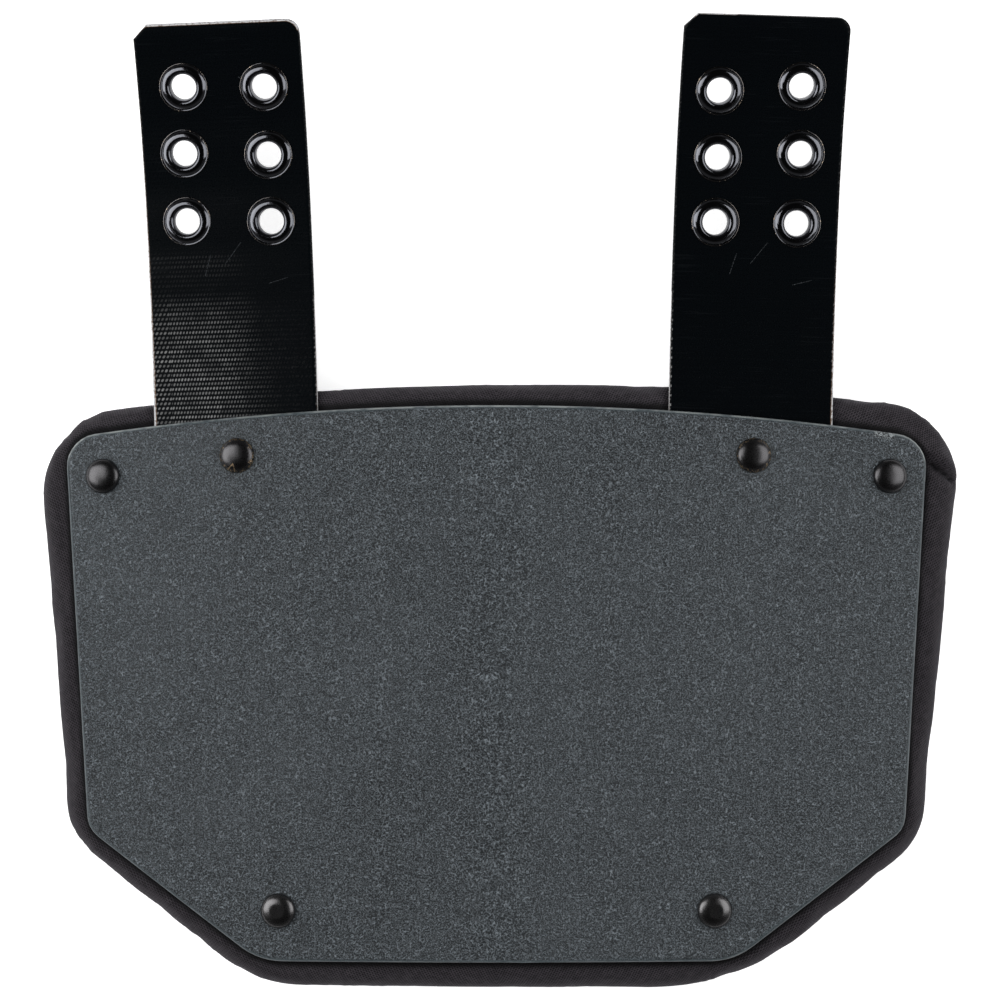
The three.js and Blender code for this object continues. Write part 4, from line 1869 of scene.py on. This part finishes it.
    def _fit(self, points: np.ndarray, loop: np.ndarray) -> np.ndarray:
        """Points moved out or in near the rim so that the widest ones meet the outline.

        Args:
            points: Rows of x, y and height in the flat drawing.
            loop: The pad's outline.

        Returns:
            The points.
        """
        mended = points.copy()
        for _ in range(self.fit_rounds):
            inside, nearest = edge_distance(mended, loop)
            rim = (np.abs(mended[:, 2] - (self.front + self.back) / 2) < 3.5 * MM) & (inside < 6 * MM)
            short = np.empty(len(loop))
            for station in range(len(loop)):
                away = np.abs((nearest[rim] - station + len(loop) // 2) % len(loop) - len(loop) // 2)
                short[station] = inside[rim][away <= self.fit_reach].min()
            window = 2 * self.fit_ease + 1
            padded = np.concatenate((short[-self.fit_ease:], short, short[:self.fit_ease]))
            eased = np.convolve(padded, np.ones(window) / window, mode="valid")
            log.info("pad: its rim moves out by %.2f to %.2f mm", eased.min() / MM, eased.max() / MM)
            share = 1 - ramp(inside, 2 * MM, 16 * MM)
            mended[:, :2] += outward(loop)[nearest] * (eased[nearest] * share)[:, None]
        return mended

    def _sew(self, points: np.ndarray, loop: np.ndarray) -> np.ndarray:
        """Points with the seam drawn in round the edge and a fold at the upper right corner.

        Args:
            points: Rows of x, y and height in the flat drawing.
            loop: The pad's outline.

        Returns:
            The points.
        """
        inside, nearest = edge_distance(points, loop)
        outer = outward(loop)[nearest]
        at_rim = 1 - ramp(inside, 1 * MM, 5 * MM)
        groove = np.exp(-((points[:, 2] - self.seam) / (1.1 * MM)) ** 2) * at_rim
        mended = points.copy()
        mended[:, :2] -= outer * (self.seam_depth * groove)[:, None]
        return self._fold(mended)

    def _fold(self, points: np.ndarray) -> np.ndarray:
        """Points with the cover's fold at the upper right corner pressed in.

        Args:
            points: Rows of x, y and height in the flat drawing.

        Returns:
            The points, with their heights mended.
        """
        distance, share, above = self._from_fold(points)
        on_front = ramp(points[:, 2], self.front - 9 * MM, self.front - 5 * MM)
        groove = np.exp(-(distance / (1.5 * MM)) ** 2) * (0.75 + 0.25 * share)
        lip = np.exp(-((distance - 3.4 * MM) / (2.2 * MM)) ** 2) * np.where(above, 1.0, 0.35)
        mended = points.copy()
        mended[:, 2] += (lip * 1.2 - groove * 3.6) * MM * on_front
        valley = np.array(self.hollow) * MM - np.array(self.drawing.origin[:2])
        soft = np.exp(-(np.linalg.norm(points[:, :2] - valley, axis=1) / (4 * MM)) ** 2)
        mended[:, 2] -= soft * 1.4 * MM * on_front
        return mended

    def _from_fold(self, points: np.ndarray) -> tuple[np.ndarray, np.ndarray, np.ndarray]:
        """Where points lie beside the fold's line.

        Args:
            points: Rows of x, y and height in the flat drawing.

        Returns:
            Distance from the line, share of the way along it, and whether a point lies above it.
        """
        origin = np.array(self.drawing.origin[:2])
        start, end = (np.array(place) * MM - origin for place in self.fold)
        along = end - start
        away = points[:, :2] - start
        share = np.clip(away @ along / (along @ along), 0, 1)
        gap = away - share[:, None] * along
        return np.linalg.norm(gap, axis=1), share, gap[:, 1] > 0

    def _mark(self, pad: Piece, loop: np.ndarray) -> None:
        """Store where the threads and the seam run, and how far each point lies from the plate's edge and
        the fold, for the painted shade there.

        Args:
            pad: The pad, drawn flat.
            loop: The pad's outline.
        """
        points = Bench.points(pad)
        inside, nearest = edge_distance(points, loop)
        in_front = points[:, 2] > self.seam
        down = np.where(in_front, self.front - points[:, 2], points[:, 2] - self.back)
        rolled = np.maximum(down, 0) * (1 - ramp(inside, 3 * MM, 9 * MM))
        threads = points.copy()
        threads[:, :2] += outward(loop)[nearest] * rolled[:, None]
        threads[:, 2] = np.where(in_front, 0, -50 * MM)
        Bench.note(pad, THREADS, threads / MM)
        pace = np.linalg.norm(np.diff(loop, axis=0), axis=1).mean()
        away = points[:, 2] - self.seam + np.maximum(inside - 4 * MM, 0)
        Bench.note(pad, SEAM, np.column_stack((away, nearest * pace, inside)) / MM)
        beside = -edge_distance(points, self.drawing.plate_loop(self.stations))[0] / MM
        crease = self._from_fold(points)[0] / MM
        Bench.note(pad, SHADE, np.column_stack((beside, crease, points[:, 2] > self.seam)))

    def build(self, effects: Effects) -> None:
        """Make the pad.

        Args:
            effects: Shared node groups.
        """
        loop = self.drawing.pad_loop(self.stations)
        pad = self._block()
        self._swell(pad)
        Bench.apply(pad, "SUBSURF", levels=1, render_levels=1)
        Bench.move(pad, self._fit(Bench.points(pad), loop))
        Bench.move(pad, self._pressed(self._sew(Bench.points(pad), loop)))
        Bench.drill(pad, self.rivet_spots, self.shank_radius, 30 * MM)
        self._mark(pad, loop)
        places = self.drawing.wrapped(Bench.points(pad))
        places[:, 2] = np.maximum(places[:, 2], 0.05 * MM)
        Bench.move(pad, places)
        Bench.smooth(pad, 75)
        Bench.finish(pad, CoverFinish().material(effects), Slot.COVER, "back_pad")


@dataclass
class Studio:
    """Pale floor, softboxes and the camera that looks straight down on the plate."""

    crest: float
    view_width: float = 310 * MM
    distance: float = 1.0
    sensor: float = 36.0
    tilt: float = 30.0
    middle: tuple[float, float] = (-0.02 * MM, 1.64 * MM)

    def build(self, effects: Effects) -> None:
        """Make the floor, the lights and the camera.

        Args:
            effects: Shared node groups.
        """
        self._floor(effects)
        tilt = math.radians(self.tilt)
        self._light("softbox_left_inner", (-0.413, 0.228, 0.680), -tilt, (0.28, 0.47), 2.5)
        self._light("softbox_left", (-0.800, 0.110, 0.455), -tilt, (0.62, 0.72), 3.2)
        self._light("softbox_right", (0.755, 0.110, 0.455), tilt, (0.70, 0.72), 2.3)
        fill = self._light("ceiling_fill", (0.0, 0.1, 1.6), 0.0, (1.6, 1.6), 1.5)
        fill.visible_glossy = False
        self._sky()
        self._camera()
        bpy.context.scene.view_settings.view_transform = "Standard"

    def _floor(self, effects: Effects) -> None:
        """Lay the floor.

        Args:
            effects: Shared node groups.
        """
        Bench.clear()
        bpy.ops.mesh.primitive_plane_add(size=8, location=(0, 0, 0))
        floor = Bench.keep("floor")
        floor.data.materials.append(FloorFinish().material(effects))

    @staticmethod
    def _light(
        name: str, place: tuple[float, float, float], tilt: float, size: tuple[float, float], glow: float
    ) -> Piece:
        """Hang a flat light over the floor.

        Args:
            name: Name of the light.
            place: Its place.
            tilt: Its turn round Y, from facing straight down.
            size: Its width and height.
            glow: Its radiance.

        Returns:
            The light.
        """
        data = bpy.data.lights.new(name, "AREA")
        data.shape = "RECTANGLE"
        data.size, data.size_y = size
        data.energy = glow * math.pi * size[0] * size[1]
        lamp = bpy.data.objects.new(name, data)
        bpy.context.collection.objects.link(lamp)
        lamp.location = place
        lamp.rotation_euler = (0, tilt, 0)
        return lamp

    def _sky(self) -> None:
        """Light the room faintly, with a pale backdrop, and dark reflections that pale near the floor."""
        world = bpy.data.worlds.new("studio_air")
        world.use_nodes = True
        graph = Graph(world.node_tree)
        upward = graph.split(graph.wire("TexCoord", "Generated"))[2]
        walls = graph.blend(graph.step(upward, 0.25, 0.75), 0.12, 0.012)
        glow = graph.blend(graph.wire("LightPath", "Is Glossy Ray"), 0.3, walls)
        strength = graph.blend(graph.wire("LightPath", "Is Camera Ray"), glow, 0.9)
        air = graph.wire("Background", 0, {"Color": (1.0, 1.0, 1.0, 1.0), "Strength": strength})
        graph.add("OutputWorld", {"Surface": air})
        bpy.context.scene.world = world

    def _camera(self) -> None:
        """Set the camera over the plate, looking straight down."""
        data = bpy.data.cameras.new("camera")
        data.sensor_width = self.sensor
        data.lens = self.sensor * self.distance / self.view_width
        camera = bpy.data.objects.new("camera", data)
        bpy.context.collection.objects.link(camera)
        camera.location = (*self.middle, self.crest + self.distance)
        bpy.context.scene.camera = camera


def main() -> None:
    """Build the back plate and its studio."""
    logging.basicConfig(level=logging.INFO, format="%(name)s: %(message)s")
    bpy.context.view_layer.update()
    effects = Effects()
    drawing = Drawing()
    rivets = Rivets()
    places = rivets.places()
    spots = [drawing.flat_spot(place) for place in places.values()]
    straps = [
        Strap(
            Side.LEFT, 1.5, -0.018, 73.3 * MM, 20.1 * MM, places["strap_left"],
            bare_left=1.0 * MM, bare_right=0.14 * MM, bare_tip=0.4 * MM, bare_ends=(0.1 * MM, -0.1 * MM)),
        Strap(
            Side.RIGHT, -1.0, -0.004, 0.992 * 73.3 * MM, 1.195 * 18.9 * MM, places["strap_right"],
            bare_left=0.14 * MM, bare_right=0.9 * MM, bare_tip=0.08 * MM, bare_ends=(-0.1 * MM, -0.15 * MM),
            coated_from=-0.35),
    ]
    Plate(drawing).build(effects, spots)
    Pad(drawing, straps, spots).build(effects)
    webbing = WebbingFinish().material(effects)
    for strap in straps:
        strap.build(webbing)
    Eyelets().build(effects)
    rivets.build(effects)
    Studio(crest=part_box("back_plate")[1].z).build(effects)


if __name__ == "__main__":
    main()
